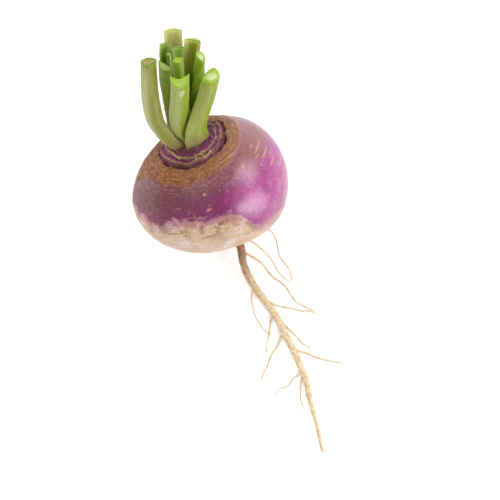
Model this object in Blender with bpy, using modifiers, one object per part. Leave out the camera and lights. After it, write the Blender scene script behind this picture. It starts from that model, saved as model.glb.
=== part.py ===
"""A purple-top turnip, pulled and trimmed, lying on its side with the cut leaf stalks upward.

One grown body (swollen bulb, ringed crown, taproot and rootlets) carries eleven cut leaf stalks.
Metres, +Z up. The turnip rests on z = 0 on a small flat spot of the bulb, at the origin, and on its
taproot. Its crown axis tips away from upright, toward +Y, and the taproot trails toward -Y.
"""

import math
import random

import bpy
import bmesh
from mathutils import Matrix, Vector

MM = 0.001

# Bulb, in its own axes: z along the crown axis, origin at the bulb's centre.
BULB_RADIUS = 40.3 * MM
BULB_HALF_HEIGHT = 29.1 * MM
SHOULDER_TILT = 2.4 * MM         # one shoulder stands higher than the other
TAIL_RADIUS = 13.0 * MM          # the underside draws out toward the taproot inside this radius
TAIL_DROP = 2.6 * MM
BULB_SIDES = 60
MERGE = 0.01 * MM                # points nearer than this are one

# Waves round the bulb that make it less than round, each (order, share of its radius, phase).
BULB_WAVES = ((2, 0.009, 0.6), (3, 0.006, 2.0), (5, 0.004, 1.1))

# Cheeks where the bulb swelled more or less than its plain shape, each (bearing, angle from the
# crown axis, reach, rise), the first three in degrees.
CHEEKS = (
    (-51, 122, 29, 3.0 * MM),
    (-4, 81, 36, -1.7 * MM),
    (-156, 111, 36, -1.3 * MM),
)

# Lie of the turnip.
LEAN = math.radians(56.5)        # crown axis from upright
CENTRE = Vector((0.0, -9.4 * MM, 36.3 * MM))

# Rings of the crown, each (radius, half-width, height) of a ridge or, below zero, a groove.
CROWN_RINGS = (
    (25.0 * MM, 0.70 * MM, 0.35 * MM),
    (22.4 * MM, 0.60 * MM, 0.20 * MM),
    (18.6 * MM, 0.65 * MM, -1.25 * MM),
    (17.0 * MM, 0.55 * MM, 0.60 * MM),
    (15.5 * MM, 0.60 * MM, -0.45 * MM),
    (13.9 * MM, 0.50 * MM, 0.55 * MM),
)
CORK_RADIUS = 25.6 * MM          # edge of the corky band round the crown
CORK_HEIGHT = 0.30 * MM
CORK_EDGE = 0.50 * MM            # half the width over which the cork thins out
NECK_RADIUS = 18.0 * MM          # edge of the raised neck that carries the stalks
NECK_HEIGHT = 0.40 * MM
NECK_EDGE = 1.40 * MM            # width over which the neck falls away
RING_SWING = 0.3                 # share by which a ring's height swings on its way round

# The rings run off centre: by an even part, and by waves round the crown, each (order, amount,
# phase). Beyond the rings they come back to the middle.
RING_OFFSET = 0.46 * MM
RING_WAVES = (
    (1, 1.24 * MM, -1.20),
    (2, 0.88 * MM, 1.19),
    (3, 0.58 * MM, -2.74),
)
RING_BACK = (20.0 * MM, 27.0 * MM)
RING_WOBBLE = ((3, 0.022, 0.8), (5, 0.014, 2.1))     # the same as shares of a ring's radius

# Radii of the rings of points over the crown, then angles from the crown axis over the rest.
CROWN_STATIONS = (3.0, 7.0, 10.4, 11.4, 12.2, 12.9, 13.5, 14.1, 14.7, 15.3, 15.9, 16.5, 17.1,
                  17.7, 18.3, 18.9, 19.6, 20.4, 21.6, 22.4, 23.4, 24.3, 25.0, 25.8)
FLANK_STATIONS = (46, 53, 60, 67, 74, 81, 88, 95, 102, 109, 116, 123, 130, 137, 144, 151, 158,
                  164, 169, 174)

# Taproot in the frame of the whole: (x, y, z, radius), thick at the bulb, lying on the ground
# from its fifth point on.
TAPROOT = (
    (0.0, -27.3, 25.5, 5.6),
    (0.1, -33.3, 20.8, 4.1),
    (0.5, -38.4, 17.4, 2.8),
    (1.1, -43.9, 13.7, 2.15),
    (-1.0, -51.1, 9.0, 2.0),
    (-1.5, -58.2, 4.9, 1.95),
    (-0.9, -65.4, 2.5, 1.95),
    (0.8, -73.6, 1.8, 1.95),
    (2.6, -82.9, 2.1, 1.85),
    (3.0, -92.1, 2.0, 1.85),
    (3.5, -101.3, 1.7, 1.75),
    (3.5, -110.6, 1.55, 1.7),
    (3.0, -119.0, 1.5, 1.55),
    (1.2, -127.4, 1.3, 1.35),
    (-0.1, -133.2, 1.15, 1.2),
    (-1.3, -142.0, 1.0, 1.0),
    (-3.3, -150.1, 0.8, 0.8),
    (-4.5, -156.3, 0.7, 0.7),
)

# Rootlets, each (radius at its root, points). They leave the taproot and droop to the ground.
ROOTLETS = (
    (0.55, ((0.5, -35.4, 19.0), (5.0, -35.0, 18.0), (12.6, -37.9, 14.5), (18.1, -42.4, 9.5),
            (18.9, -48.5, 4.5), (17.3, -56.2, 1.0), (18.9, -64.4, 0.6), (17.3, -71.6, 0.5))),
    (0.55, ((0.6, -38.0, 17.4), (4.0, -40.5, 15.5), (7.2, -43.5, 11.5), (10.3, -49.1, 6.0),
            (12.6, -55.8, 2.2), (13.4, -63.4, 0.7), (16.2, -70.6, 0.6))),
    (0.75, ((0.8, -46.0, 12.3), (2.4, -48.2, 11.0), (4.6, -51.0, 8.6), (7.6, -56.2, 4.4),
            (9.3, -63.4, 1.3), (13.4, -71.6, 0.8), (15.2, -80.8, 0.7), (21.4, -89.0, 0.6))),
    (0.55, ((3.5, -113.4, 1.6), (0.5, -115.2, 1.3), (-2.2, -115.9, 0.8), (-7.1, -118.3, 0.6),
            (-10.8, -117.9, 0.6), (-14.1, -120.0, 0.5))),
    (0.55, ((3.2, -116.2, 1.5), (0.3, -118.8, 1.2), (-1.8, -123.4, 0.7), (-3.6, -127.0, 0.6),
            (-4.2, -132.6, 0.5))),
)

# More rootlets along the middle of the taproot, placed by a seeded rule.
ROOTLET_SEED = 7
ROOTLET_RUN = (-61.0, -104.0)
ROOTLET_COUNT = 6
ROOTLET_JITTER = 0.25            # shift of a rootlet's root, as a share of their spacing
ROOTLET_RADIUS = 0.75 * MM
ROOTLET_THINNEST = 0.75          # share of that radius
ROOTLET_LENGTH = (20.0 * MM, 34.0 * MM)
ROOTLET_STEPS = 7
ROOTLET_HEADING = (0.50, 0.95)   # radians off the taproot's own way, where a rootlet sets out
ROOTLET_TURN = 0.35              # most it turns in a step
ROOTLET_WIDEST = 1.1             # heading that it never passes
ROOTLET_DROOP = 0.45 * MM        # fall in a step, until it lies on the ground
ROOTLET_TAPER = 0.45             # share of its thickness that a rootlet loses on its way
TAPROOT_RESOLUTION = 4           # bevel resolutions of the curves that the roots are made from
ROOTLET_RESOLUTION = 1

# Leaf stalks in the bulb's own axes: the path of each, the bearing of its outer face in degrees
# (+x to +y) at base and tip, and (width, depth, channel) at base, middle and tip. A channel below
# zero is a bulge: the stalk is round there. The cut leans by (across, outward), and sags toward
# its edges by the last number times the square of the way out, in millimetres.
STALKS = (
    ("petiole_01", ((-7.3, -3.0, 29.4), (-9.9, -2.9, 35.5), (-11.4, -2.6, 46.3),
                    (-9.9, -2.0, 56.1), (-7.1, -1.4, 64.7), (-1.8, 0.3, 77.8)),
     (232, 250), ((8.6, 3.4, 0.2), (9.3, 5.0, -1.3), (8.0, 4.8, -2.3)), (0.1, -0.25, 0.0)),
    ("petiole_02", ((-1.4, -3.0, 29.8), (-2.3, -4.5, 37.8), (1.0, -6.4, 47.8),
                    (4.6, -8.9, 56.6), (7.7, -13.5, 67.0)),
     (262, 262), ((4.8, 3.0, 0.4), (9.2, 5.2, 0.8), (9.2, 5.6, 1.6)), (0.1, -0.75, 0.0)),
    ("petiole_03", ((4.3, -8.0, 29.4), (5.9, -8.4, 35.7), (10.6, -8.5, 43.2),
                    (17.1, -9.2, 52.1), (23.1, -10.4, 61.7)),
     (284, 262), ((13.4, 3.0, 1.2), (9.2, 4.6, 0.2), (8.6, 4.8, -1.4)), (0.3, -1.0, 0.17)),
    ("petiole_04", ((-7.6, 5.3, 29.2), (-4.4, 4.5, 40.9), (-0.5, 3.3, 57.4), (3.9, 2.9, 69.9)),
     (158, 245), ((4.8, 2.8, 0.2), (6.2, 3.2, -0.4), (6.4, 3.6, -0.2)), (-0.6, -0.5, 0.0)),
    ("petiole_05", ((2.9, 0.0, 29.9), (5.9, -1.7, 51.3), (8.8, -2.7, 64.5), (11.4, -3.2, 73.8)),
     (285, 270), ((3.6, 2.0, -0.8), (5.2, 2.6, -1.8), (5.4, 2.6, -2.0)), (0.0, -0.15, 0.0)),
    ("petiole_06", ((-3.0, 9.9, 28.8), (0.6, 11.0, 50.3), (4.9, 12.0, 68.1), (8.4, 12.9, 76.7)),
     (112, 118), ((4.8, 2.6, 0.4), (6.8, 3.2, 0.9), (7.6, 3.4, 1.5)), (0.1, 0.1, 0.0)),
    ("petiole_07", ((3.6, 4.4, 29.7), (7.8, 6.5, 52.6), (11.6, 8.2, 66.7), (14.0, 9.2, 73.9)),
     (80, 88), ((3.4, 2.0, 0.0), (5.0, 2.4, 0.5), (5.6, 2.6, 1.1)), (0.0, 0.1, 0.0)),
    ("petiole_08", ((-1.2, 3.7, 29.7), (3.0, 6.3, 51.2), (6.6, 7.3, 65.9), (8.7, 7.6, 72.8)),
     (150, 180), ((2.6, 1.6, -0.6), (3.3, 1.7, -0.9), (3.6, 1.8, -0.9)), (0.0, 0.0, 0.0)),
    ("petiole_09", ((4.0, 10.9, 28.6), (6.4, 14.8, 51.2), (12.7, 17.9, 70.8), (15.4, 19.6, 78.2)),
     (80, 84), ((5.0, 2.8, 0.6), (8.4, 3.6, 1.4), (9.2, 3.8, 2.0)), (0.0, 0.15, 0.0)),
    ("petiole_10", ((8.8, 6.6, 29.0), (12.6, 9.8, 48.8), (18.7, 11.7, 63.2), (23.0, 12.4, 72.2)),
     (38, 62), ((4.8, 2.8, 0.4), (7.4, 3.4, 1.3), (8.5, 3.6, 1.8)), (0.0, 0.1, 0.0)),
    ("petiole_11", ((7.9, 0.9, 29.4), (11.6, 1.6, 47.2), (16.8, 2.2, 56.8), (22.4, 2.4, 66.8)),
     (5, 300), ((4.6, 2.6, 0.2), (5.8, 3.4, -1.6), (5.8, 3.4, -1.8)), (-0.2, -0.9, 0.0)),
)
STALK_RINGS = 10
STALK_SPAN = 8                   # steps across a stalk's outer face
STALK_GAP = 0.35 * MM            # stalk to crown
KEEL = 0.45                      # how far a stalk's outer face goes from round to a roof
LOOK_AHEAD = 0.02                # share of a path either side of a ring that gives its direction
CUT_RIM = 0.62                   # share of the way out from the heart to where the pith begins
CUT_LIP = 0.1 * MM               # depth there
CUT_PIT = 0.40                   # the same for the bottom of the soft pith
CUT_HOLLOW = 1.2 * MM

GROUND_BLOCK = (0.12, 0.24, 0.01)    # cutter whose top is the ground
GROUND_BLOCK_Y = -0.06

ROOT_ROUGHNESS = 0.45
STALK_ROUGHNESS = 0.5

COLOURS = {
    "turnip_root": (0.34, 0.10, 0.19),
    "petiole_01": (0.44, 0.48, 0.20),
    "petiole_02": (0.34, 0.39, 0.12),
    "petiole_03": (0.36, 0.38, 0.10),
    "petiole_04": (0.16, 0.24, 0.05),
    "petiole_05": (0.16, 0.34, 0.02),
    "petiole_06": (0.28, 0.42, 0.08),
    "petiole_07": (0.20, 0.38, 0.04),
    "petiole_08": (0.12, 0.28, 0.02),
    "petiole_09": (0.46, 0.46, 0.18),
    "petiole_10": (0.36, 0.42, 0.10),
    "petiole_11": (0.14, 0.26, 0.02),
}


def clear_scene():
    for obj in list(bpy.data.objects):
        bpy.data.objects.remove(obj, do_unlink=True)


def make_collection(name):
    collection = bpy.data.collections.new(name)
    bpy.context.scene.collection.children.link(collection)
    return collection


def make_material(name, roughness):
    material = bpy.data.materials.new(name)
    material.use_nodes = True
    shader = material.node_tree.nodes["Principled BSDF"]
    shader.inputs["Base Color"].default_value = (*COLOURS[name], 1.0)
    shader.inputs["Roughness"].default_value = roughness
    shader.inputs["Metallic"].default_value = 0.0
    return material


def make_object(name, mesh, collection, parent=None):
    obj = bpy.data.objects.new(name, mesh)
    obj.parent = parent
    collection.objects.link(obj)
    return obj


def smooth(low, high, value):
    """0 below low, 1 above high, an even curve between."""
    t = min(1.0, max(0.0, (value - low) / (high - low)))
    return t * t * (3.0 - 2.0 * t)


def waves(table, bearing):
    """Sum of a table's waves round the crown at a bearing."""
    return sum(amount * math.sin(order * bearing + phase) for order, amount, phase in table)


def crown_relief(radius, bearing):
    """Height of the crown's cork, neck and rings over the plain bulb."""
    shift = (RING_OFFSET + waves(RING_WAVES, bearing)) * (1.0 - smooth(*RING_BACK, radius))
    r = radius * (1.0 + waves(RING_WOBBLE, bearing)) + shift
    height = CORK_HEIGHT * (1.0 - smooth(CORK_RADIUS - CORK_EDGE, CORK_RADIUS + CORK_EDGE, r))
    height += NECK_HEIGHT * (1.0 - smooth(NECK_RADIUS - NECK_EDGE, NECK_RADIUS, r))
    for index, (centre, width, rise) in enumerate(CROWN_RINGS):
        vary = 1.0 + RING_SWING * math.sin(2 * bearing + 1.7 * index)
        height += rise * vary * math.exp(-((r - centre) / width) ** 2)
    return height


def direction(bearing, polar):
    """Unit direction from its bearing and its angle from the crown axis, in degrees."""
    bearing, polar = math.radians(bearing), math.radians(polar)
    level = math.sin(polar)
    return Vector((level * math.cos(bearing), level * math.sin(bearing), math.cos(polar)))


def cheek_rise(point):
    """How far the bulb's cheeks move a point of the plain turned bulb outward."""
    outward = Vector((point.x / BULB_RADIUS, point.y / BULB_RADIUS, point.z / BULB_HALF_HEIGHT))
    total = 0.0
    for bearing, polar, reach, rise in CHEEKS:
        away = outward.angle(direction(bearing, polar))
        total += rise * math.exp(-(away / math.radians(reach)) ** 2)
    return total


def bulb_point(point):
    """Moves a point of the plain turned bulb to its place on the grown one."""
    radius = math.hypot(point.x, point.y)
    if radius < 1e-7:
        lift = CORK_HEIGHT + NECK_HEIGHT if point.z > 0 else -TAIL_DROP
        return Vector((0.0, 0.0, point.z + lift))
    bearing = math.atan2(point.y, point.x)
    rise = point.z / BULB_HALF_HEIGHT
    run = radius / BULB_RADIUS
    swell = 1.0 + run * waves(BULB_WAVES, bearing)
    z = point.z
    if point.z > 0:
        z += SHOULDER_TILT * math.cos(bearing) * run * 2.0 * rise * run
        z += crown_relief(radius, bearing)
    else:
        z -= TAIL_DROP * (1.0 - smooth(0.0, TAIL_RADIUS, radius)) ** 1.5
    across = BULB_RADIUS ** 2
    normal = Vector((point.x / across, point.y / across, point.z / BULB_HALF_HEIGHT ** 2)).normalized()
    return Vector((point.x * swell, point.y * swell, z)) + normal * cheek_rise(point)


def crown_height(x, y):
    """Height of the crown under a point inside the rings."""
    r = math.hypot(x, y)
    plain = BULB_HALF_HEIGHT * math.sqrt(1.0 - (r / BULB_RADIUS) ** 2)
    return bulb_point(Vector((x, y, plain))).z


def build_bulb(collection, parent):
    """Turns the bulb's plain profile, then raises the grown shape on it by formula."""
    profile = [(0.0, BULB_HALF_HEIGHT)]
    for radius in CROWN_STATIONS:
        run = radius * MM / BULB_RADIUS
        profile.append((radius * MM, BULB_HALF_HEIGHT * math.sqrt(1.0 - run * run)))
    for degrees in FLANK_STATIONS:
        angle = math.radians(degrees)
        profile.append((BULB_RADIUS * math.sin(angle), BULB_HALF_HEIGHT * math.cos(angle)))
    profile.append((0.0, -BULB_HALF_HEIGHT))
    mesh = bpy.data.meshes.new("turnip_profile")
    edges = [(i, i + 1) for i in range(len(profile) - 1)]
    mesh.from_pydata([(r, 0.0, z) for r, z in profile], edges, [])
    turned = make_object("turnip_profile", mesh, collection)
    screw = turned.modifiers.new("turn", "SCREW")
    screw.axis = "Z"
    screw.steps = BULB_SIDES
    screw.render_steps = BULB_SIDES
    screw.use_merge_vertices = True
    screw.merge_threshold = MERGE
    graph = bpy.context.evaluated_depsgraph_get()
    grown = bpy.data.meshes.new_from_object(turned.evaluated_get(graph))
    grown.name = "turnip_root"
    bpy.data.objects.remove(turned, do_unlink=True)
    bpy.data.meshes.remove(mesh)
    for vertex in grown.vertices:
        vertex.co = bulb_point(vertex.co)
    return make_object("turnip_root", grown, collection, parent)


def build_root(name, points, radii, resolution, collection):
    """A tapering root: a bevelled curve, made a closed mesh."""
    curve = bpy.data.curves.new(name, "CURVE")
    curve.dimensions = "3D"
    curve.bevel_depth = 1.0
    curve.bevel_resolution = resolution
    curve.use_fill_caps = True
    spline = curve.splines.new("POLY")
    spline.points.add(len(points) - 1)
    for place, point, radius in zip(spline.points, points, radii):
        place.co = (*point, 1.0)
        place.radius = radius
    wire = make_object(name + "_curve", curve, collection)
    graph = bpy.context.evaluated_depsgraph_get()
    mesh = bpy.data.meshes.new_from_object(wire.evaluated_get(graph))
    root = make_object(name, mesh, collection)
    root.matrix_world = wire.matrix_world
    bpy.data.objects.remove(wire, do_unlink=True)
    bpy.data.curves.remove(curve)
    shape = bmesh.new()
    shape.from_mesh(mesh)
    bmesh.ops.remove_doubles(shape, verts=shape.verts, dist=MERGE)
    bmesh.ops.recalc_face_normals(shape, faces=shape.faces)
    shape.to_mesh(mesh)
    shape.free()
    return root


def taproot_at(y):
    """Point of the taproot's middle where it passes y."""
    for near, far in zip(TAPROOT, TAPROOT[1:]):
        if far[1] * MM <= y <= near[1] * MM:
            t = (near[1] * MM - y) / ((near[1] - far[1]) * MM)
            return Vector(near[:3]).lerp(Vector(far[:3]), t) * MM
    raise ValueError("the taproot does not pass there")


def grown_rootlets():
    """Rootlets by rule: they leave alternate sides of the taproot and wander over the ground."""
    rng = random.Random(ROOTLET_SEED)
    rootlets = []
    for index in range(ROOTLET_COUNT):
        share = (index + 0.5 + rng.uniform(-ROOTLET_JITTER, ROOTLET_JITTER)) / ROOTLET_COUNT
        start = taproot_at((ROOTLET_RUN[0] + share * (ROOTLET_RUN[1] - ROOTLET_RUN[0])) * MM)
        side = 1.0 if index % 2 else -1.0
        heading = rng.uniform(*ROOTLET_HEADING)
        step = rng.uniform(*ROOTLET_LENGTH) / ROOTLET_STEPS
        radius = ROOTLET_RADIUS * rng.uniform(ROOTLET_THINNEST, 1.0)
        points = [start.copy()]
        for _ in range(ROOTLET_STEPS):
            heading = min(ROOTLET_WIDEST, heading + rng.uniform(-ROOTLET_TURN, ROOTLET_TURN))
            move = Vector((side * math.sin(heading), -math.cos(heading), 0.0)) * step
            place = points[-1] + move
            place.z = max(0.9 * radius, place.z - ROOTLET_DROOP)
            points.append(place)
        rootlets.append((radius, points))
    return rootlets


def fuse_roots(bulb):
    """Joins the taproot and every rootlet to the bulb in one union."""
    roots = make_collection("turnip_roots")
    middle = [Vector(p[:3]) * MM for p in TAPROOT]
    build_root("taproot", middle, [p[3] * MM for p in TAPROOT], TAPROOT_RESOLUTION, roots)
    laid = [(r * MM, [Vector(p) * MM for p in points]) for r, points in ROOTLETS]
    for index, (radius, marks) in enumerate(laid + grown_rootlets()):
        last = 2 * (len(marks) - 1)
        points = [along(marks, i / last) for i in range(last + 1)]
        radii = [radius * (1.0 - ROOTLET_TAPER * i / last) for i in range(last + 1)]
        build_root(f"rootlet_{index + 1:02d}", points, radii, ROOTLET_RESOLUTION, roots)
    union = bulb.modifiers.new("roots", "BOOLEAN")
    union.operation = "UNION"
    union.operand_type = "COLLECTION"
    union.collection = roots
    union.solver = "EXACT"
    bpy.context.view_layer.update()
    graph = bpy.context.evaluated_depsgraph_get()
    fused = bpy.data.meshes.new_from_object(bulb.evaluated_get(graph))
    bulb.modifiers.remove(union)
    bulb.data = fused
    for obj in list(roots.objects):
        bpy.data.objects.remove(obj, do_unlink=True)
    bpy.data.collections.remove(roots)


def cut_flat(bulb, cutters):
    """Takes the bulb and the taproot down to the ground they have settled on."""
    mesh = bpy.data.meshes.new("ground_cutter")
    block = bmesh.new()
    bmesh.ops.create_cube(block, size=1.0)
    bmesh.ops.scale(block, vec=GROUND_BLOCK, verts=block.verts)
    block.to_mesh(mesh)
    block.free()
    cutter = make_object("ground_cutter", mesh, cutters)
    cutter.location = (0.0, GROUND_BLOCK_Y, -0.5 * GROUND_BLOCK[2])
    cutter.hide_render = True
    cutter.display_type = "WIRE"
    cut = bulb.modifiers.new("ground", "BOOLEAN")
    cut.operation = "DIFFERENCE"
    cut.object = cutter
    cut.solver = "EXACT"


def along(points, share):
    """Point at a share of the way through the points, on a smooth curve through them."""
    count = len(points) - 1
    place = min(share * count, count - 1e-6)
    index = int(place)
    t = place - index
    p1, p2 = points[index], points[index + 1]
    p0 = points[index - 1] if index > 0 else p1 * 2 - p2
    p3 = points[index + 2] if index + 2 <= count else p2 * 2 - p1
    return 0.5 * (2 * p1 + (p2 - p0) * t + (2 * p0 - 5 * p1 + 4 * p2 - p3) * t * t
                  + (3 * p1 - p0 - 3 * p2 + p3) * t ** 3)


def blend(three, share):
    """Value at a share of the way through base, middle and tip."""
    if share < 0.5:
        return three[0] + (three[1] - three[0]) * smooth(0.0, 0.5, share)
    return three[1] + (three[2] - three[1]) * smooth(0.5, 1.0, share)


def stalk_section(width, depth, channel):
    """Outline across a stalk: a keeled outer face, then the channel on the inner one."""
    outline = []
    for i in range(STALK_SPAN + 1):
        angle = math.pi * i / STALK_SPAN
        keel = (1.0 - KEEL) * math.sin(angle) + KEEL * (1.0 - abs(math.cos(angle)))
        outline.append((-0.5 * width * math.cos(angle), depth * keel))
    inner = STALK_SPAN - 2
    for i in range(1, inner):
        angle = math.pi * (1.0 - i / inner)
        outline.append((-0.5 * width * math.cos(angle), channel * math.sin(angle) ** 2))
    middle = 0.5 * (depth + channel)
    return [(u, v - middle) for u, v in outline]


def build_stalk(name, path, bearings, sizes, slant, collection, parent):
    """Lofts a leaf stalk from the crown to its cut, through sections that change on the way."""
    points = [Vector(p) * MM for p in path]
    rings = []
    for step in range(STALK_RINGS + 1):
        share = step / STALK_RINGS
        centre = along(points, share)
        ahead = along(points, min(1.0, share + LOOK_AHEAD))
        ahead -= along(points, max(0.0, share - LOOK_AHEAD))
        tangent = ahead.normalized() if step else Vector((0.0, 0.0, 1.0))
        bearing = math.radians(bearings[0] + (bearings[1] - bearings[0]) * smooth(0.0, 1.0, share))
        outward = Vector((math.cos(bearing), math.sin(bearing), 0.0))
        outward = (outward - tangent * outward.dot(tangent)).normalized()
        across = tangent.cross(outward)
        size = [blend([s[k] * MM for s in sizes], share) for k in range(3)]
        ring = []
        for u, v in stalk_section(*size):
            point = centre + across * u + outward * v
            if step == 0:
                point.z = crown_height(point.x, point.y) + STALK_GAP
            if step == STALK_RINGS:
                point += tangent * (slant[0] * u + slant[1] * v - slant[2] * u * u / MM)
            ring.append(point)
        rings.append(ring)
    cut = rings[-1]
    if sizes[-1][2] < 0:
        heart = sum(cut, Vector()) / len(cut)
        rings.append([heart.lerp(point, CUT_RIM) - tangent * CUT_LIP for point in cut])
        rings.append([heart.lerp(point, CUT_PIT) - tangent * CUT_HOLLOW for point in cut])
    shape = bmesh.new()
    loops = [[shape.verts.new(point) for point in ring] for ring in rings]
    for below, above in zip(loops, loops[1:]):
        for i in range(len(below)):
            j = (i + 1) % len(below)
            shape.faces.new((below[i], below[j], above[j], above[i]))
    base = shape.faces.new(loops[0][::-1])
    top = shape.faces.new(loops[-1])
    shape.normal_update()
    bmesh.ops.triangulate(shape, faces=[base, top], ngon_method="EAR_CLIP")
    mesh = bpy.data.meshes.new(name)
    shape.to_mesh(mesh)
    shape.free()
    return make_object(name, mesh, collection, parent)


def finish(obj, roughness):
    obj.data.materials.clear()
    obj.data.materials.append(make_material(obj.name, roughness))
    for polygon in obj.data.polygons:
        polygon.use_smooth = True
        polygon.material_index = 0


def main():
    clear_scene()
    turnip = make_collection("turnip")
    cutters = make_collection("cutters")
    axis = bpy.data.objects.new("crown_axis", None)
    axis.location = CENTRE
    axis.rotation_euler = (-LEAN, 0.0, 0.0)
    turnip.objects.link(axis)
    bpy.context.view_layer.update()

    bulb = build_bulb(turnip, axis)
    bpy.context.view_layer.update()
    fuse_roots(bulb)
    cut_flat(bulb, cutters)
    finish(bulb, ROOT_ROUGHNESS)
    for name, path, bearings, sizes, slant in STALKS:
        stalk = build_stalk(name, path, bearings, sizes, slant, turnip, axis)
        finish(stalk, STALK_ROUGHNESS)


main()
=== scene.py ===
"""Looks of the purple-top turnip: finer skins over its solids, their materials, and the studio.

Lengths are in metres and angles in degrees unless a name says otherwise. The bulb and its stalks
are modelled in the turnip's own axes (z along the crown, origin at the bulb's centre), and the
roots in the row frame, where the ground is z = 0.
"""

import math
import random

import bmesh
import bpy
import numpy as np
from mathutils import Matrix, Vector, noise


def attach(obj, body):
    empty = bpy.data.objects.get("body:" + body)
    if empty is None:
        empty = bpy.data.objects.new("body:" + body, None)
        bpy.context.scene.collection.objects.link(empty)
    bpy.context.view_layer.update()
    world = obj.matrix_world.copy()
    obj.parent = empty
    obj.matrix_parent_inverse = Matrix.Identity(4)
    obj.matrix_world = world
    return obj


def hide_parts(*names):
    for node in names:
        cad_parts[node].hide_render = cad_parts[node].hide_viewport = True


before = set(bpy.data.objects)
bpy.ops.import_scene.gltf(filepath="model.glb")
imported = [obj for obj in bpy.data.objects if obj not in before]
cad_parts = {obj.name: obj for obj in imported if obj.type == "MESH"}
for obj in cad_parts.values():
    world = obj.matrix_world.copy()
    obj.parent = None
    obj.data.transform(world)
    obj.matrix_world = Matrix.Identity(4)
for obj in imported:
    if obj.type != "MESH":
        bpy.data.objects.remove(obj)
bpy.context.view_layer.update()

MM = 0.001
TINY = 1e-9

# --- Driving dimensions, the same as the solids' ---

BULB_RADIUS = 40.3 * MM
BULB_HALF_HEIGHT = 29.1 * MM
SHOULDER_TILT = 2.4 * MM
TAIL_RADIUS = 13.0 * MM
TAIL_DROP = 2.6 * MM
BULB_WAVES = ((2, 0.009, 0.6), (3, 0.006, 2.0), (5, 0.004, 1.1))
# Where the bulb is fuller or flatter: bearing, angle down, reach in degrees, rise.
CHEEKS = (
    (-51, 122, 29, 3.0 * MM), (-4, 81, 36, -1.7 * MM), (-156, 111, 36, -1.3 * MM),
)
LEAN = math.radians(56.5)
CENTRE = Vector((0.0, -9.4, 36.3)) * MM
TO_ROW = Matrix.Translation(CENTRE) @ Matrix.Rotation(-LEAN, 4, "X")

# Rings of the crown: radius, half width and rise, in millimetres.
CROWN_RINGS = (
    (25.0, 0.70, 0.35), (22.4, 0.60, 0.20), (18.6, 0.65, -1.25), (17.0, 0.55, 0.60),
    (15.5, 0.60, -0.45), (13.9, 0.50, 0.55),
)
CORK_RADIUS = 25.6 * MM
CORK_HEIGHT = 0.30 * MM
CORK_FADE = 0.50 * MM  # half the width over which the cork thins out
NECK_RADIUS = 18.0 * MM
NECK_HEIGHT = 0.40 * MM
NECK_FADE = 1.40 * MM  # width over which the neck falls away
RING_SWING = 0.3  # share by which a ring's height swings on its way round
RING_OFFSET = 0.46 * MM
RING_WAVES = ((1, 1.24 * MM, -1.20), (2, 0.88 * MM, 1.19), (3, 0.58 * MM, -2.74))
RING_WOBBLE = ((3, 0.022, 0.8), (5, 0.014, 2.1))  # the same as shares of a ring's radius
RING_BACK = (20.0 * MM, 27.0 * MM)

# Edges of the skin's colours: (bearing round the crown, angle down from the crown).
PURPLE_EDGE = ((-174, 71), (-162, 72), (-154, 72), (-142, 77), (-135, 73), (-126, 71), (-116, 72),
               (-110, 75), (-98, 77), (-90, 79), (-84, 81), (-79, 87), (-75, 99), (-70, 108),
               (-59, 111), (-41, 114), (-18, 104), (10, 96), (45, 98), (90, 88), (130, 93),
               (165, 79))
CORK_EDGE = ((167, 54), (174, 45), (-176, 40), (-152, 38), (-133, 38), (-119, 40), (-106, 43),
             (-94, 44), (-70, 44), (-55, 42), (-38, 40), (0, 37), (36, 36), (90, 40), (130, 46))

# The taproot's middle and its radius, in millimetres.
TAPROOT = (
    (0.0, -27.3, 25.5, 5.6), (0.1, -33.3, 20.8, 4.1), (0.5, -38.4, 17.4, 2.8),
    (1.1, -43.9, 13.7, 2.15), (-1.0, -51.1, 9.0, 2.0), (-1.5, -58.2, 4.9, 1.95),
    (-0.9, -65.4, 2.5, 1.95), (0.8, -73.6, 1.8, 1.95), (2.6, -82.9, 2.1, 1.85),
    (3.0, -92.1, 2.0, 1.85), (3.5, -101.3, 1.7, 1.75), (3.5, -110.6, 1.55, 1.7),
    (3.0, -119.0, 1.5, 1.55), (1.2, -127.4, 1.3, 1.35), (-0.1, -133.2, 1.15, 1.2),
    (-1.3, -142.0, 1.0, 1.0), (-3.3, -150.1, 0.8, 0.8), (-4.5, -156.3, 0.7, 0.7),
)
# Rootlets that show in the photograph: radius and path, in millimetres.
ROOTLETS = (
    (0.55, ((0.5, -35.4, 19.0), (5.0, -35.0, 18.0), (12.6, -37.9, 14.5), (18.1, -42.4, 9.5),
            (18.9, -48.5, 4.5), (17.3, -56.2, 1.0), (18.9, -64.4, 0.6), (17.3, -71.6, 0.5))),
    (0.55, ((0.6, -38.0, 17.4), (4.0, -40.5, 15.5), (7.2, -43.5, 11.5), (10.3, -49.1, 6.0),
            (12.6, -55.8, 2.2), (13.4, -63.4, 0.7), (16.2, -70.6, 0.6))),
    (0.75, ((0.8, -46.0, 12.3), (2.4, -48.2, 11.0), (4.6, -51.0, 8.6), (7.6, -56.2, 4.4),
            (9.3, -63.4, 1.3), (13.4, -71.6, 0.8), (15.2, -80.8, 0.7), (21.4, -89.0, 0.6))),
    (0.55, ((3.5, -113.4, 1.6), (0.5, -115.2, 1.3), (-2.2, -115.9, 0.8), (-7.1, -118.3, 0.6),
            (-10.8, -117.9, 0.6), (-14.1, -120.0, 0.5))),
    (0.55, ((3.2, -116.2, 1.5), (0.3, -118.8, 1.2), (-1.8, -123.4, 0.7), (-3.6, -127.0, 0.6),
            (-4.2, -132.6, 0.5))),
)
ROOTLET_SEED = 7
ROOTLET_RUN = (-61.0, -104.0)
ROOTLET_COUNT = 6
ROOTLET_JITTER = 0.25  # shift of a rootlet's root, as a share of their spacing
ROOTLET_RADIUS = 0.75 * MM
ROOTLET_THINNEST = 0.75  # share of that radius
ROOTLET_LENGTH = (20.0 * MM, 34.0 * MM)
ROOTLET_STEPS = 7
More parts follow.
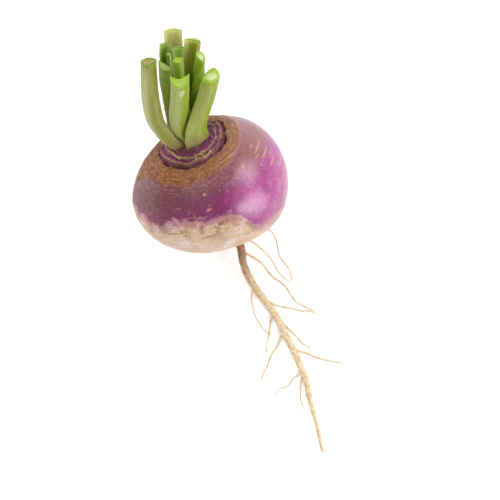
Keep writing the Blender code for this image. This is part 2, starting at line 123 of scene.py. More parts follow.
ROOTLET_HEADING = (0.50, 0.95)  # radians off the taproot's own way, where a rootlet sets out
ROOTLET_TURN = 0.35  # most it turns in a step
ROOTLET_WIDEST = 1.1  # heading that it never passes
ROOTLET_DROOP = 0.45 * MM  # fall in a step, until it lies on the ground

# Leaf stalks: path, bearing of the outer face at base and tip, (width, depth, channel) at base,
# middle and tip, and the cut's lean across and outward and its fall to both sides.
STALKS = (
    ("petiole_01", ((-7.3, -3.0, 29.4), (-9.9, -2.9, 35.5), (-11.4, -2.6, 46.3),
                    (-9.9, -2.0, 56.1), (-7.1, -1.4, 64.7), (-1.8, 0.3, 77.8)),
     (232, 250), ((8.6, 3.4, 0.2), (9.3, 5.0, -1.3), (8.0, 4.8, -2.3)), (0.1, -0.25, 0.0)),
    ("petiole_02", ((-1.4, -3.0, 29.8), (-2.3, -4.5, 37.8), (1.0, -6.4, 47.8),
                    (4.6, -8.9, 56.6), (7.7, -13.5, 67.0)),
     (262, 262), ((4.8, 3.0, 0.4), (9.2, 5.2, 0.8), (9.2, 5.6, 1.6)), (0.1, -0.75, 0.0)),
    ("petiole_03", ((4.3, -8.0, 29.4), (5.9, -8.4, 35.7), (10.6, -8.5, 43.2),
                    (17.1, -9.2, 52.1), (23.1, -10.4, 61.7)),
     (284, 262), ((13.4, 3.0, 1.2), (9.2, 4.6, 0.2), (8.6, 4.8, -1.4)), (0.3, -1.0, 0.17)),
    ("petiole_04", ((-7.6, 5.3, 29.2), (-4.4, 4.5, 40.9), (-0.5, 3.3, 57.4), (3.9, 2.9, 69.9)),
     (158, 245), ((4.8, 2.8, 0.2), (6.2, 3.2, -0.4), (6.4, 3.6, -0.2)), (-0.6, -0.5, 0.0)),
    ("petiole_05", ((2.9, 0.0, 29.9), (5.9, -1.7, 51.3), (8.8, -2.7, 64.5), (11.4, -3.2, 73.8)),
     (285, 270), ((3.6, 2.0, -0.8), (5.2, 2.6, -1.8), (5.4, 2.6, -2.0)), (0.0, -0.15, 0.0)),
    ("petiole_06", ((-3.0, 9.9, 28.8), (0.6, 11.0, 50.3), (4.9, 12.0, 68.1), (8.4, 12.9, 76.7)),
     (112, 118), ((4.8, 2.6, 0.4), (6.8, 3.2, 0.9), (7.6, 3.4, 1.5)), (0.1, 0.1, 0.0)),
    ("petiole_07", ((3.6, 4.4, 29.7), (7.8, 6.5, 52.6), (11.6, 8.2, 66.7), (14.0, 9.2, 73.9)),
     (80, 88), ((3.4, 2.0, 0.0), (5.0, 2.4, 0.5), (5.6, 2.6, 1.1)), (0.0, 0.1, 0.0)),
    ("petiole_08", ((-1.2, 3.7, 29.7), (3.0, 6.3, 51.2), (6.6, 7.3, 65.9), (8.7, 7.6, 72.8)),
     (150, 180), ((2.6, 1.6, -0.6), (3.3, 1.7, -0.9), (3.6, 1.8, -0.9)), (0.0, 0.0, 0.0)),
    ("petiole_09", ((4.0, 10.9, 28.6), (6.4, 14.8, 51.2), (12.7, 17.9, 70.8), (15.4, 19.6, 78.2)),
     (80, 84), ((5.0, 2.8, 0.6), (8.4, 3.6, 1.4), (9.2, 3.8, 2.0)), (0.0, 0.15, 0.0)),
    ("petiole_10", ((8.8, 6.6, 29.0), (12.6, 9.8, 48.8), (18.7, 11.7, 63.2), (23.0, 12.4, 72.2)),
     (38, 62), ((4.8, 2.8, 0.4), (7.4, 3.4, 1.3), (8.5, 3.6, 1.8)), (0.0, 0.1, 0.0)),
    ("petiole_11", ((7.9, 0.9, 29.4), (11.6, 1.6, 47.2), (16.8, 2.2, 56.8), (22.4, 2.4, 66.8)),
     (5, 300), ((4.6, 2.6, 0.2), (5.8, 3.4, -1.6), (5.8, 3.4, -1.8)), (-0.2, -0.9, 0.0)),
)
KEEL = 0.45  # how far a stalk's outer face goes from round to a roof
LOOK_AHEAD = 0.02  # share of a path either side of a ring that gives its direction

# Colours of each stalk: left and right of its outer face, painted as its lit and shaded sides,
# inside, rim (a painted highlight), cut edge and pith.
STALK_COLOURS = {
    "petiole_01": ((194, 192, 136), (150, 152, 62), (150, 150, 72), (178, 184, 100),
      (138, 160, 46), (192, 160, 112)),
    "petiole_02": ((184, 194, 120), (162, 182, 52), (136, 158, 32), (168, 186, 70), (168, 202, 62),
      (186, 212, 96)),
    "petiole_03": ((172, 180, 96), (152, 174, 40), (150, 184, 20), (184, 202, 92), (156, 190, 40),
      (214, 224, 156)),
    "petiole_04": ((162, 178, 88), (156, 172, 62), (168, 190, 64), (170, 192, 84), (152, 182, 60),
      (186, 202, 112)),
    "petiole_05": ((112, 150, 6), (132, 168, 12), (124, 162, 14), (166, 198, 60), (146, 186, 34),
      (174, 204, 86)),
    "petiole_06": ((176, 202, 112), (132, 166, 24), (120, 156, 26), (192, 212, 128),
      (150, 184, 66), (206, 220, 150)),
    "petiole_07": ((116, 150, 10), (108, 142, 6), (124, 158, 22), (164, 190, 94), (136, 172, 58),
      (186, 206, 124)),
    "petiole_08": ((140, 170, 60), (96, 138, 6), (90, 132, 8), (206, 220, 148), (140, 178, 60),
      (196, 214, 130)),
    "petiole_09": ((196, 206, 96), (184, 186, 70), (194, 188, 104), (222, 228, 152),
      (196, 212, 104), (242, 244, 224)),
    "petiole_10": ((172, 180, 70), (152, 174, 36), (152, 158, 26), (212, 224, 142), (170, 202, 66),
      (234, 240, 206)),
    "petiole_11": ((142, 172, 22), (112, 144, 8), (104, 136, 8), (166, 192, 64), (150, 184, 62),
      (214, 224, 170)),
}
# Dark specks, browning at the foot, and where the keel parts the painted lit side from the painted
# shaded side.
STALK_WEAR_AND_SHADING = {
    "petiole_01": (0.30, 0.85, 0.05), "petiole_02": (0.60, 0.35, 0.15),
    "petiole_03": (0.30, 0.75, 0.30), "petiole_04": (0.95, 0.20, 0.20),
    "petiole_09": (0.15, 0.30, 0.00), "petiole_11": (0.30, 0.20, 0.55),
}
PLAIN_WEAR_AND_SHADING = (0.15, 0.15, 0.10)
# Where a chip of skin is gone: place on the unrolled stalk, and one over the chip's half-sizes.
STALK_CHIPS = {"petiole_02": (0.6 * MM, 0.0, 36.2 * MM)}
CHIP_SPREAD = (1.0 / (1.5 * MM), 0.0, 1.0 / (2.3 * MM))

# Marks on the skin: (bearing, angle down, radius in millimetres, kind).
SCARS = (
    (-112, 68, 1.5, "ring"), (-152, 61, 2.4, "ring"), (-97, 55, 0.95, "pale"),
    (-84, 58, 0.45, "pale"), (-79, 62, 0.45, "pale"), (-114, 63, 0.50, "pale"),
    (-106, 73, 0.80, "pale"), (-76, 57, 0.50, "pale"), (-126, 61, 0.35, "pale"),
    (60, 66, 1.1, "ring"), (95, 60, 0.7, "pale"), (140, 72, 1.3, "ring"),
)
# Marks drawn out round the bulb: (bearing, angle down, length and width in millimetres, kind).
STROKES = (
    (-26, 56, 12.0, 1.7, "tan"), (-27, 64, 12.0, 1.5, "tan"), (-29, 74, 9.0, 1.5, "tan"),
    (-18, 84, 11.0, 1.4, "tan"), (-24, 99, 10.0, 1.5, "tan"), (-54, 54, 2.4, 1.5, "tan"),
    (-30, 50, 3.2, 1.6, "tan"), (-98, 69, 3.4, 1.5, "tan"), (-22, 69, 4.0, 1.4, "tan"),
    (-36, 59, 3.0, 1.2, "tan"), (-20, 91, 5.0, 1.4, "tan"), (-41, 66, 2.6, 1.0, "tan"),
    (-104, 74, 6.0, 1.4, "dust"), (-118, 70, 5.0, 1.3, "dust"), (-122, 60, 3.6, 1.2, "dust"),
    (-96, 66, 2.2, 0.8, "dust"), (25, 62, 6.0, 1.2, "tan"), (42, 80, 7.0, 1.1, "tan"),
    (110, 70, 5.0, 1.2, "tan"), (156, 64, 5.0, 1.2, "tan"), (-128, 85, 12.0, 0.8, "crack"),
    (-106, 96, 7.0, 1.0, "crack"), (-140, 90, 6.0, 0.9, "crack"), (-94, 86, 3.6, 2.6, "crack"),
    (-84, 95, 4.0, 0.7, "crack"), (30, 118, 9.0, 1.0, "crack"), (120, 112, 10.0, 0.9, "crack"),
    (160, 104, 7.0, 1.0, "crack"),
)
STROKE_LOOKS = {"tan": (0.66, (206, 150, 124)), "dust": (0.50, (176, 116, 96)),
                "crack": (0.75, (136, 86, 52))}
STROKE_RAGGED = 2.2  # unevenness of a mark's edge, as a share of its half width
SCAR_RAGGED = {"pale": 2.2, "ring": 1.5}

# --- Shapes ---


def smooth(low, high, value):
    """0 below low, 1 above high, an even curve between. Works on numbers and arrays."""
    t = np.clip((value - low) / (high - low), 0.0, 1.0)
    return t * t * (3.0 - 2.0 * t)


def grain(points, size, octaves=3, seed=0.0):
    """Fractal noise, about -1 to 1, with features of that size, at each of an array of points."""
    flat = points.reshape(-1, 3) / size + seed
    values = [noise.fractal(Vector(p), 1.0, 2.0, octaves) for p in flat]
    return np.array(values).reshape(points.shape[:-1])


def around(edge, bearing):
    """An edge's angle down from the crown at each bearing, in degrees."""
    bearings = [b for b, _ in edge]
    angles = [a for _, a in edge]
    return np.interp(np.degrees(bearing), bearings, angles, period=360)


def waves(table, bearing):
    """Sum of a table's waves (order, amount, phase) at a bearing."""
    return sum(amount * np.sin(order * bearing + phase) for order, amount, phase in table)


def add_object(name, data):
    obj = bpy.data.objects.new(name, data)
    bpy.context.scene.collection.objects.link(obj)
    return obj


def make_object(name, points, faces, matrix=None, marks=None):
    """A smooth-shaded mesh object, its points carried into the row frame by the matrix.

    marks are named values or places, one a point, that materials read. "grown" is the place that a
    material's grain follows: the one before the matrix, unless marks give another.
    """
    mesh = bpy.data.meshes.new(name)
    mesh.from_pydata([tuple(p) for p in points], [], faces)
    for mark, values in {"grown": points, **(marks or {})}.items():
        values = np.asarray(values, dtype=np.float32)
        places = values.size == 3 * len(points)
        layer = mesh.attributes.new(mark, "FLOAT_VECTOR" if places else "FLOAT", "POINT")
        layer.data.foreach_set("vector" if places else "value", values.ravel())
    if matrix is not None:
        mesh.transform(matrix)
    mesh.shade_smooth()
    return add_object(name, mesh)


def skin_faces(rings, sides, start=0, cap_ends=True):
    """Faces of a tube of rings whose points are numbered ring by ring from start."""
    faces = []
    for ring in range(rings - 1):
        low = start + ring * sides
        for i in range(sides):
            j = (i + 1) % sides
            faces.append((low + i, low + j, low + sides + j, low + sides + i))
    if cap_ends:
        faces.append(tuple(start + i for i in reversed(range(sides))))
        last = start + (rings - 1) * sides
        faces.append(tuple(last + i for i in range(sides)))
    return faces


def along(points, share):
    """Point at a share of the way through the points, on a smooth curve through them."""
    count = len(points) - 1
    place = min(share * count, count - 1e-6)
    index = int(place)
    t = place - index
    p1, p2 = points[index], points[index + 1]
    p0 = points[index - 1] if index > 0 else p1 * 2 - p2
    p3 = points[index + 2] if index + 2 <= count else p2 * 2 - p1
    return 0.5 * (2 * p1 + (p2 - p0) * t + (2 * p0 - 5 * p1 + 4 * p2 - p3) * t * t
                  + (3 * p1 - p0 - 3 * p2 + p3) * t ** 3)


# --- Bulb ---

BULB_SIDES = 320
CROWN_STEP = 0.22 * MM
CROWN_REACH = 27.0 * MM
FLANK_STEP = 1.0
CROWN_GIRTH = 18.0 * MM  # radius at which the crown's drawn-out grain is true to size
ROLLED_SHARE = 0.86  # length of the way down the flank to that round a ball

RING_DRIFT = 1.10 * MM  # how far slow and torn noise move the rings
RING_TEAR = 0.40 * MM
RING_VARIETY = 1.5  # swing of a ring's height by noise, and its least and most
RING_LIMITS = (0.15, 1.8)
CORK_RELIEF = (0.18 * MM, 0.24 * MM, 0.14 * MM)  # of fine strokes, plates and torn noise
NECK_RELIEF = (0.26 * MM, 0.26 * MM)  # of strokes and torn noise
DENT_SIZE = 14.0 * MM
DENT_DEPTH = 0.24 * MM
CRACK_DEPTH = 0.14 * MM


def ring_shift(radius, bearing):
    """How far the crown's rings run off centre."""
    return (RING_OFFSET + waves(RING_WAVES, bearing)) * (1.0 - smooth(*RING_BACK, radius))


def crown_wander(radius, bearing):
    return radius * (1.0 + waves(RING_WOBBLE, bearing)) + ring_shift(radius, bearing)


def crown_relief(r, bearing, vary=1.0):
    """Height of the crown's cork, neck and rings over the plain bulb; r has its wander in it."""
    height = CORK_HEIGHT * (1.0 - smooth(CORK_RADIUS - CORK_FADE, CORK_RADIUS + CORK_FADE, r))
    height = height + NECK_HEIGHT * (1.0 - smooth(NECK_RADIUS - NECK_FADE, NECK_RADIUS, r))
    for index, (centre, width, rise) in enumerate(CROWN_RINGS):
        swing = vary * (1.0 + RING_SWING * np.sin(2 * bearing + 1.7 * index))
        height = height + rise * MM * swing * np.exp(-((r / MM - centre) / width) ** 2)
    return height


def crown_grain(bearing, radius, long, wide, octaves, seed):
    """Noise drawn out round the crown, its features that long round it and that wide across it."""
    turn = CROWN_GIRTH / long
    place = np.stack([np.cos(bearing) * turn, np.sin(bearing) * turn, radius / wide], -1)
    return grain(place, 1.0, octaves, seed)


def cheek_rise(radius, bearing, plain):
    """How far the bulb's cheeks move points of the plain turned bulb outward."""
    level, up = radius / BULB_RADIUS, plain / BULB_HALF_HEIGHT
    total = 0.0
    for side, polar, reach, rise in CHEEKS:
        side, polar = math.radians(side), math.radians(polar)
        facing = level * math.sin(polar) * np.cos(bearing - side) + up * math.cos(polar)
        away = np.arccos(np.clip(facing, -1.0, 1.0))
        total += rise * np.exp(-(away / math.radians(reach)) ** 2)
    return total


def swollen(radius, bearing, plain):
    """Points of the grown bulb from radius, bearing and height on the plain turned one."""
    run = radius / BULB_RADIUS
    rise = plain / BULB_HALF_HEIGHT
    swell = 1.0 + run * waves(BULB_WAVES, bearing)
    top = plain + SHOULDER_TILT * np.cos(bearing) * run * 2.0 * rise * run
    tail = plain - TAIL_DROP * (1.0 - smooth(0.0, TAIL_RADIUS, radius)) ** 1.5
    z = np.where(plain > 0, top, tail)
    across, along_axis = radius / BULB_RADIUS ** 2, plain / BULB_HALF_HEIGHT ** 2
    push = cheek_rise(radius, bearing, plain) / np.hypot(across, along_axis)
    out = radius * swell + across * push
    return np.stack([out * np.cos(bearing), out * np.sin(bearing), z + along_axis * push], -1)


def crown_height(x, y):
    """Height of the crown under a point of it."""
    radius = math.hypot(x, y)
    bearing = math.atan2(y, x)
    plain = BULB_HALF_HEIGHT * math.sqrt(1.0 - (radius / BULB_RADIUS) ** 2)
    relief = crown_relief(crown_wander(radius, bearing), bearing)
    return float(swollen(radius, bearing, plain)[2] + relief)


def settle(points, matrix):
    """Points pressed flat where they would lie below the ground."""
    turn = np.array(matrix.to_3x3())
    shift = np.array(matrix.translation)
    laid = points @ turn.T + shift
    laid[..., 2] = np.maximum(laid[..., 2], 0.0)
    return (laid - shift) @ turn


def build_bulb():
    """The bulb's skin: the solids' own formula, with finer rings, cork and dents laid on it."""
    crown = np.arange(0.3 * MM, CROWN_REACH, CROWN_STEP)
    first = math.degrees(math.asin(CROWN_REACH / BULB_RADIUS))
    flank = np.radians(np.arange(first, 178.0, FLANK_STEP))
    radius = np.concatenate([crown, BULB_RADIUS * np.sin(flank)])
    plain = np.concatenate([BULB_HALF_HEIGHT * np.sqrt(1.0 - (crown / BULB_RADIUS) ** 2),
                            BULB_HALF_HEIGHT * np.cos(flank)])
    bearing = np.linspace(-math.pi, math.pi, BULB_SIDES, endpoint=False)
    radius, bearing = np.meshgrid(radius, bearing, indexing="ij")
    plain = np.repeat(plain[:, None], BULB_SIDES, 1)
    points = swollen(radius, bearing, plain)
    polar = np.degrees(np.arctan2(radius / BULB_RADIUS, plain / BULB_HALF_HEIGHT))

    # The rings wander, break up and tear into flakes.
    top = plain > 0
    slow = crown_grain(bearing, radius, 8.0 * MM, 5.0 * MM, 2, 1.0)
    torn = crown_grain(bearing, radius, 2.4 * MM, 1.1 * MM, 3, 5.0)
    strokes = crown_grain(bearing, radius, 2.2 * MM, 0.50 * MM, 3, 8.0)
    plates = smooth(0.02, 0.10, crown_grain(bearing, radius, 3.4 * MM, 0.9 * MM, 3, 12.0))
    vary = 1.0 + RING_VARIETY * crown_grain(bearing, radius, 5.0 * MM, 3.0 * MM, 2, 3.0)
    r = crown_wander(radius, bearing) + np.where(top, RING_DRIFT * slow + RING_TEAR * torn, 0.0)
    relief = np.where(top, crown_relief(r, bearing, np.clip(vary, *RING_LIMITS)), 0.0)
    cork = around(CORK_EDGE, bearing) - polar + 3.0 * slow
    in_cork = smooth(-2.5, 2.0, cork) * smooth(18.8 * MM, 19.8 * MM, r)
    in_neck = smooth(19.0 * MM, 18.0 * MM, r) * smooth(7.0 * MM, 9.0 * MM, r) * top
    for amount, shape in zip(CORK_RELIEF, (strokes, plates, torn)):
        relief += in_cork * amount * shape
    for amount, shape in zip(NECK_RELIEF, (strokes, torn)):
        relief += in_neck * amount * shape

    # The flank is smooth but never even: broad dents, and fine cracks round the pale underside.
    relief += DENT_DEPTH * grain(points, DENT_SIZE, 2, seed=4.0) * smooth(30.0, 50.0, polar)
    purple = around(PURPLE_EDGE, bearing) - polar
    below = smooth(80.0, 96.0, polar) * smooth(0.0, -6.0, purple)
    cracks = crown_grain(bearing, np.radians(polar) * BULB_RADIUS, 3.6 * MM, 1.5 * MM, 3, 2.0)
    relief -= CRACK_DEPTH * below * smooth(0.22, 0.50, cracks)

    outward = points / np.array([BULB_RADIUS ** 2, BULB_RADIUS ** 2, BULB_HALF_HEIGHT ** 2])
    outward /= np.linalg.norm(outward, axis=-1, keepdims=True)
    upright = smooth(34.0 * MM, 20.0 * MM, radius)[..., None] * top[..., None]
    outward = outward * (1.0 - upright) + np.array([0.0, 0.0, 1.0]) * upright
    points = settle(points + outward * relief[..., None], TO_ROW)

    faces = [face[::-1] for face in skin_faces(*radius.shape)]
    down = np.where(top & (radius < CROWN_REACH), r,
                    np.radians(polar) * BULB_RADIUS * ROLLED_SHARE)
    rolled = np.stack([np.cos(bearing) * CROWN_GIRTH, np.sin(bearing) * CROWN_GIRTH, down], -1)
    marks = {"ring": np.where(top, r, BULB_RADIUS) / MM, "cork": cork, "purple": purple,
             "polar": polar, "relief": relief / MM, "rolled": rolled}
    return make_object("turnip_bulb", points.reshape(-1, 3), faces, TO_ROW, marks)


# --- Taproot and rootlets ---

KNOB_SIZE = (2.6, 0.8 * MM)  # a root's knobs: that many times its thickness, and this more
WRINKLE_SIZE = (0.5, 0.2 * MM)
WRINKLE_SHARE = 0.35
TAP_SIDES, TAP_RINGS, TAP_ROUGH = 44, 620, 0.10
ROOTLET_SIDES, ROOTLET_RINGS, ROOTLET_ROUGH = 12, 130, 0.16
ROOTLET_FLARE = 1.5  # thickness of a rootlet's root over the rest of it
ROOTLET_TAPER = 0.55
HAIR_SIDES, HAIR_RINGS, HAIR_ROUGH = 5, 16, 0.1
HAIR_TAPER = 0.7
HAIR_SEED = 21
HAIR_COUNT = 70
HAIR_RUN = (-36.0, -152.0)  # stretch of the taproot that bears hairs, as y in millimetres
HAIR_CROWDING = 0.9  # under 1, more of them grow toward its far end
HAIR_RADIUS = 0.11 * MM
HAIR_LENGTH = (2.0, 9.0)
HAIR_STEPS = 5
HAIR_HEADING = 1.3  # most that a hair's way differs from straight out, at its start
HAIR_TURN = 0.5  # most it turns in a step
HAIR_BACK, HAIR_FALL = 0.8, 0.25
HAIR_FLOOR = 0.12 * MM
ROOT_REACH = 156.0 * MM  # how far the taproot runs back from the rest spot


def tube(path, radii, sides, rings, rough, seed):
    """Points of a tapering root and each one's share of the way along it.

    rough is the unevenness of its skin as a share of its thickness.
    """
    centres = [along(path, i / (rings - 1)) for i in range(rings)]
    widths = np.interp(np.linspace(0, 1, rings), np.linspace(0, 1, len(radii)), radii)
    side = None
    loops = []
    for i, centre in enumerate(centres):
        ahead = centres[min(i + 1, rings - 1)] - centres[max(i - 1, 0)]
        tangent = ahead.normalized()
        if side is None:
            side = tangent.cross(Vector((0.0, 0.0, 1.0))).normalized()
        side = (side - tangent * side.dot(tangent)).normalized()
        other = tangent.cross(side)
        turn = np.linspace(0, 2 * math.pi, sides, endpoint=False)
        ring = np.outer(np.cos(turn), side) + np.outer(np.sin(turn), other)
        loops.append(np.array(centre) + ring * widths[i])
    points = np.array(loops)
    middle = np.array([tuple(c) for c in centres])[:, None, :]
    arm = points - middle
    size = np.mean(widths)
    knobs = grain(points, KNOB_SIZE[0] * size + KNOB_SIZE[1], 3, seed)
    wrinkle = grain(points, WRINKLE_SIZE[0] * size + WRINKLE_SIZE[1], 2, seed + 5.0)
    points = middle + arm * (1.0 + rough * (knobs + WRINKLE_SHARE * wrinkle))[..., None]
    points[..., 2] = np.maximum(points[..., 2], 0.0)
    share = np.repeat(np.linspace(0, 1, rings)[:, None], sides, 1)
    return points, share


def taproot_at(y):
    """Point of the taproot's middle where it passes y."""
    for near, far in zip(TAPROOT, TAPROOT[1:]):
        if far[1] * MM <= y <= near[1] * MM:
            t = (near[1] * MM - y) / ((near[1] - far[1]) * MM)
            return Vector(near[:3]).lerp(Vector(far[:3]), t) * MM
    raise ValueError("the taproot does not pass there")


def grown_rootlets():
    """The solids' own rule for the rootlets along the middle of the taproot."""
    rng = random.Random(ROOTLET_SEED)
    rootlets = []
    for index in range(ROOTLET_COUNT):
        share = (index + 0.5 + rng.uniform(-ROOTLET_JITTER, ROOTLET_JITTER)) / ROOTLET_COUNT
        start = taproot_at((ROOTLET_RUN[0] + share * (ROOTLET_RUN[1] - ROOTLET_RUN[0])) * MM)
        side = 1.0 if index % 2 else -1.0
        heading = rng.uniform(*ROOTLET_HEADING)
        step = rng.uniform(*ROOTLET_LENGTH) / ROOTLET_STEPS
        radius = ROOTLET_RADIUS * rng.uniform(ROOTLET_THINNEST, 1.0)
        points = [start.copy()]
        for _ in range(ROOTLET_STEPS):
            heading = min(ROOTLET_WIDEST, heading + rng.uniform(-ROOTLET_TURN, ROOTLET_TURN))
            move = Vector((side * math.sin(heading), -math.cos(heading), 0.0)) * step
            place = points[-1] + move
            place.z = max(0.9 * radius, place.z - ROOTLET_DROOP)
            points.append(place)
        rootlets.append((radius, points))
    return rootlets


def root_hairs(rng):
    """Fine hairs on the taproot, which lie along the ground or just over it."""
    hairs = []
    for _ in range(HAIR_COUNT):
        y = HAIR_RUN[0] + (HAIR_RUN[1] - HAIR_RUN[0]) * rng.random() ** HAIR_CROWDING
        start = taproot_at(y * MM)
        heading = rng.uniform(-HAIR_HEADING, HAIR_HEADING)
        side = rng.choice((-1.0, 1.0))
        step = rng.uniform(*HAIR_LENGTH) * MM / HAIR_STEPS
        points = [start]
        for _ in range(HAIR_STEPS):
            heading += rng.uniform(-HAIR_TURN, HAIR_TURN)
            move = Vector((side * math.cos(heading), -math.sin(heading) * HAIR_BACK, -HAIR_FALL))
            place = points[-1] + move * step
            place.z = max(HAIR_FLOOR, place.z)
            points.append(place)
        hairs.append((HAIR_RADIUS, points))
    return hairs


def build_roots():
    """Taproot, rootlets and hairs as one piece."""
    rng = random.Random(HAIR_SEED)
    all_points, faces, share = [], [], []

    def grow(path, radii, sides, rings, rough, seed, shade):
        points, far = tube(path, radii, sides, rings, rough, seed)
        start = sum(len(p) for p in all_points)
        faces.extend(skin_faces(rings, sides, start))
        all_points.append(points.reshape(-1, 3))
        share.append((shade[0] + (shade[1] - shade[0]) * far).ravel())

    tap = [Vector(p[:3]) * MM for p in TAPROOT]
    grow(tap, [p[3] * MM for p in TAPROOT], TAP_SIDES, TAP_RINGS, TAP_ROUGH, 3.0, (0.0, 1.0))
    laid = [(r * MM, [Vector(p) * MM for p in path]) for r, path in ROOTLETS]
    for index, (radius, path) in enumerate(laid + grown_rootlets()):
        radii = [radius * (1.0 - ROOTLET_TAPER * i / 9) for i in range(10)]
        radii[0] *= ROOTLET_FLARE
        place = min(1.0, max(0.0, -path[0].y / ROOT_REACH))
        grow(path, radii, ROOTLET_SIDES, ROOTLET_RINGS, ROOTLET_ROUGH, 11.0 + index,
             (place, min(1.0, place + 0.3)))
    for index, (radius, path) in enumerate(root_hairs(rng)):
        radii = [radius * (1.0 - HAIR_TAPER * i / 5) for i in range(6)]
        grow(path, radii, HAIR_SIDES, HAIR_RINGS, HAIR_ROUGH, 40.0 + index, (0.6, 0.8))
    marks = {"share": np.concatenate(share)}
    return make_object("turnip_roots", np.concatenate(all_points), faces, None, marks)


# --- Leaf stalks ---

STALK_SPAN = 46  # steps across a stalk's outer face
STALK_RINGS = 150
CUT_ROWS = 14  # rows across the cut, from its outer to its inner edge
RIB_HEIGHT = 0.07 * MM
RIB_WAVES = 15.0  # ribs' waves round half a stalk, in radians for each radian
RIB_WANDER = (2.0, 3.0)  # how far, in radians, and how often they drift along the stalk
RIB_INSIDE = 0.6  # height of the channel's ribs as a share of the outer ones'
UPRIGHT = 0.1  # share of the length over which the foot turns from upright
INSIDE_SHIFT = 0.03  # sets the channel's grain apart from the outer face's
SWELLING = 0.18 * MM  # by broad and by fine noise
FIBRE = 0.05 * MM
LEAN_SHARE = 0.2  # share of the length over which the rings turn to the cut's lean
NICK_RINGS = 6
NICK_DEPTH = 0.32 * MM
FOOT_SINK = 0.5 * MM  # how far the foot reaches into the crown
FOOT_RINGS = 12
PITH_SINK = 0.20  # depth of the soft pith as a share of the stalk's thickness
PITH_THICK = 4.0 * MM  # most thickness that counts there
CUT_SWELL = 0.12 * MM
STALK_SEED_STEP = 3.0


def blend(three, share):
    """Value at a share of the way through base, middle and tip."""
    if share < 0.5:
        return three[0] + (three[1] - three[0]) * float(smooth(0.0, 0.5, share))
    return three[1] + (three[2] - three[1]) * float(smooth(0.5, 1.0, share))


def stalk_edges(width, depth, channel):
    """Points (across, outward) of the outer face and of the inner one, over the same angles."""
    angle = np.linspace(0.0, math.pi, STALK_SPAN + 1)
    across = -0.5 * width * np.cos(angle)
    keel = (1.0 - KEEL) * np.sin(angle) + KEEL * (1.0 - np.abs(np.cos(angle)))
    middle = 0.5 * (depth + channel)
    outer = np.stack([across, depth * keel - middle], -1)
    inner = np.stack([across, channel * np.sin(angle) ** 2 - middle], -1)
    return angle, outer, inner


def stalk_rings(path, bearings, sizes, slant, seed):
    """The stalk's rings from foot to tip, their marks, the way up at the tip, and the length."""
    points = [Vector(p) * MM for p in path]
    length = sum((b - a).length for a, b in zip(points, points[1:]))
    rows, unrolled, across_marks, outer_marks, shares = [], [], [], [], []
    for step in range(STALK_RINGS + 1):
        far = step / STALK_RINGS
        centre = along(points, far)
        ahead = along(points, min(1.0, far + LOOK_AHEAD))
        ahead = ahead - along(points, max(0.0, far - LOOK_AHEAD))
        upright = max(0.0, 1.0 - far / UPRIGHT)
        tangent = ahead.normalized().lerp(Vector((0, 0, 1)), upright).normalized()
        bearing = math.radians(bearings[0] + (bearings[1] - bearings[0]) * float(smooth(0, 1, far)))
        outward = Vector((math.cos(bearing), math.sin(bearing), 0.0))
        outward = (outward - tangent * outward.dot(tangent)).normalized()
        across = tangent.cross(outward)
        width, depth, channel = (blend([s[k] * MM for s in sizes], far) for k in range(3))
        angle, outer, inner = stalk_edges(width, depth, channel)
        loop = np.concatenate([outer, inner[-2:0:-1]])
        turn = np.concatenate([angle, angle[-2:0:-1]])
        is_outer = np.concatenate([np.ones(STALK_SPAN + 1), np.zeros(STALK_SPAN - 1)])
        wander = RIB_WANDER[0] * math.sin(RIB_WANDER[1] * far + seed)
        ribs = np.sin(RIB_WAVES * turn + wander) * np.sqrt(np.sin(turn) + TINY)
        loop[:, 1] += RIB_HEIGHT * ribs * np.where(is_outer > 0, 1.0, RIB_INSIDE)
        lean = slant[0] * loop[:, 0] + slant[1] * loop[:, 1] - slant[2] * loop[:, 0] ** 2 / MM
        lean *= smooth(1.0 - LEAN_SHARE, 1.0, far)
        rows.append(np.array(centre) + np.outer(loop[:, 0], across) + np.outer(loop[:, 1], outward)
                    + np.outer(lean, tangent))
        side = -np.cos(turn)
        unrolled.append(np.stack([0.5 * width * side, INSIDE_SHIFT * (1.0 - is_outer),
                                  np.full(len(turn), far * length)], -1))
        across_marks.append(side)
        outer_marks.append(is_outer)
        shares.append(np.full(len(turn), far))
    marks = {"grown": np.array(unrolled), "across": np.array(across_marks),
             "outer": np.array(outer_marks), "share": np.array(shares)}
    return np.array(rows), marks, np.array(tangent), length


def weather(rows, tangent, seed):
    """Growth and the knife leave a stalk uneven: swellings, fine fibres, a nicked rim."""
    broad = grain(rows, 7.0 * MM, 2, seed)
    fine = grain(rows * np.array([1.0, 1.0, 0.25]), 0.9 * MM, 2, seed + 3.0)
    arm = rows - rows.mean(axis=1, keepdims=True)
    arm /= np.linalg.norm(arm, axis=-1, keepdims=True) + TINY
    rows = rows + arm * (SWELLING * broad + FIBRE * fine)[..., None]
    nicks = grain(rows[-1] * np.array([1.0, 1.0, 0.0]), 1.3 * MM, 3, seed + 7.0)
    for k in range(NICK_RINGS):
        rows[-1 - k] += np.outer(nicks * NICK_DEPTH * (1.0 - k / NICK_RINGS), tangent)
    foot = rows[0].copy()
    shift = np.array([crown_height(x, y) - FOOT_SINK - z for x, y, z in foot])
    for k in range(FOOT_RINGS):
        rows[k][:, 2] += shift * (1.0 - k / FOOT_RINGS)
    return rows


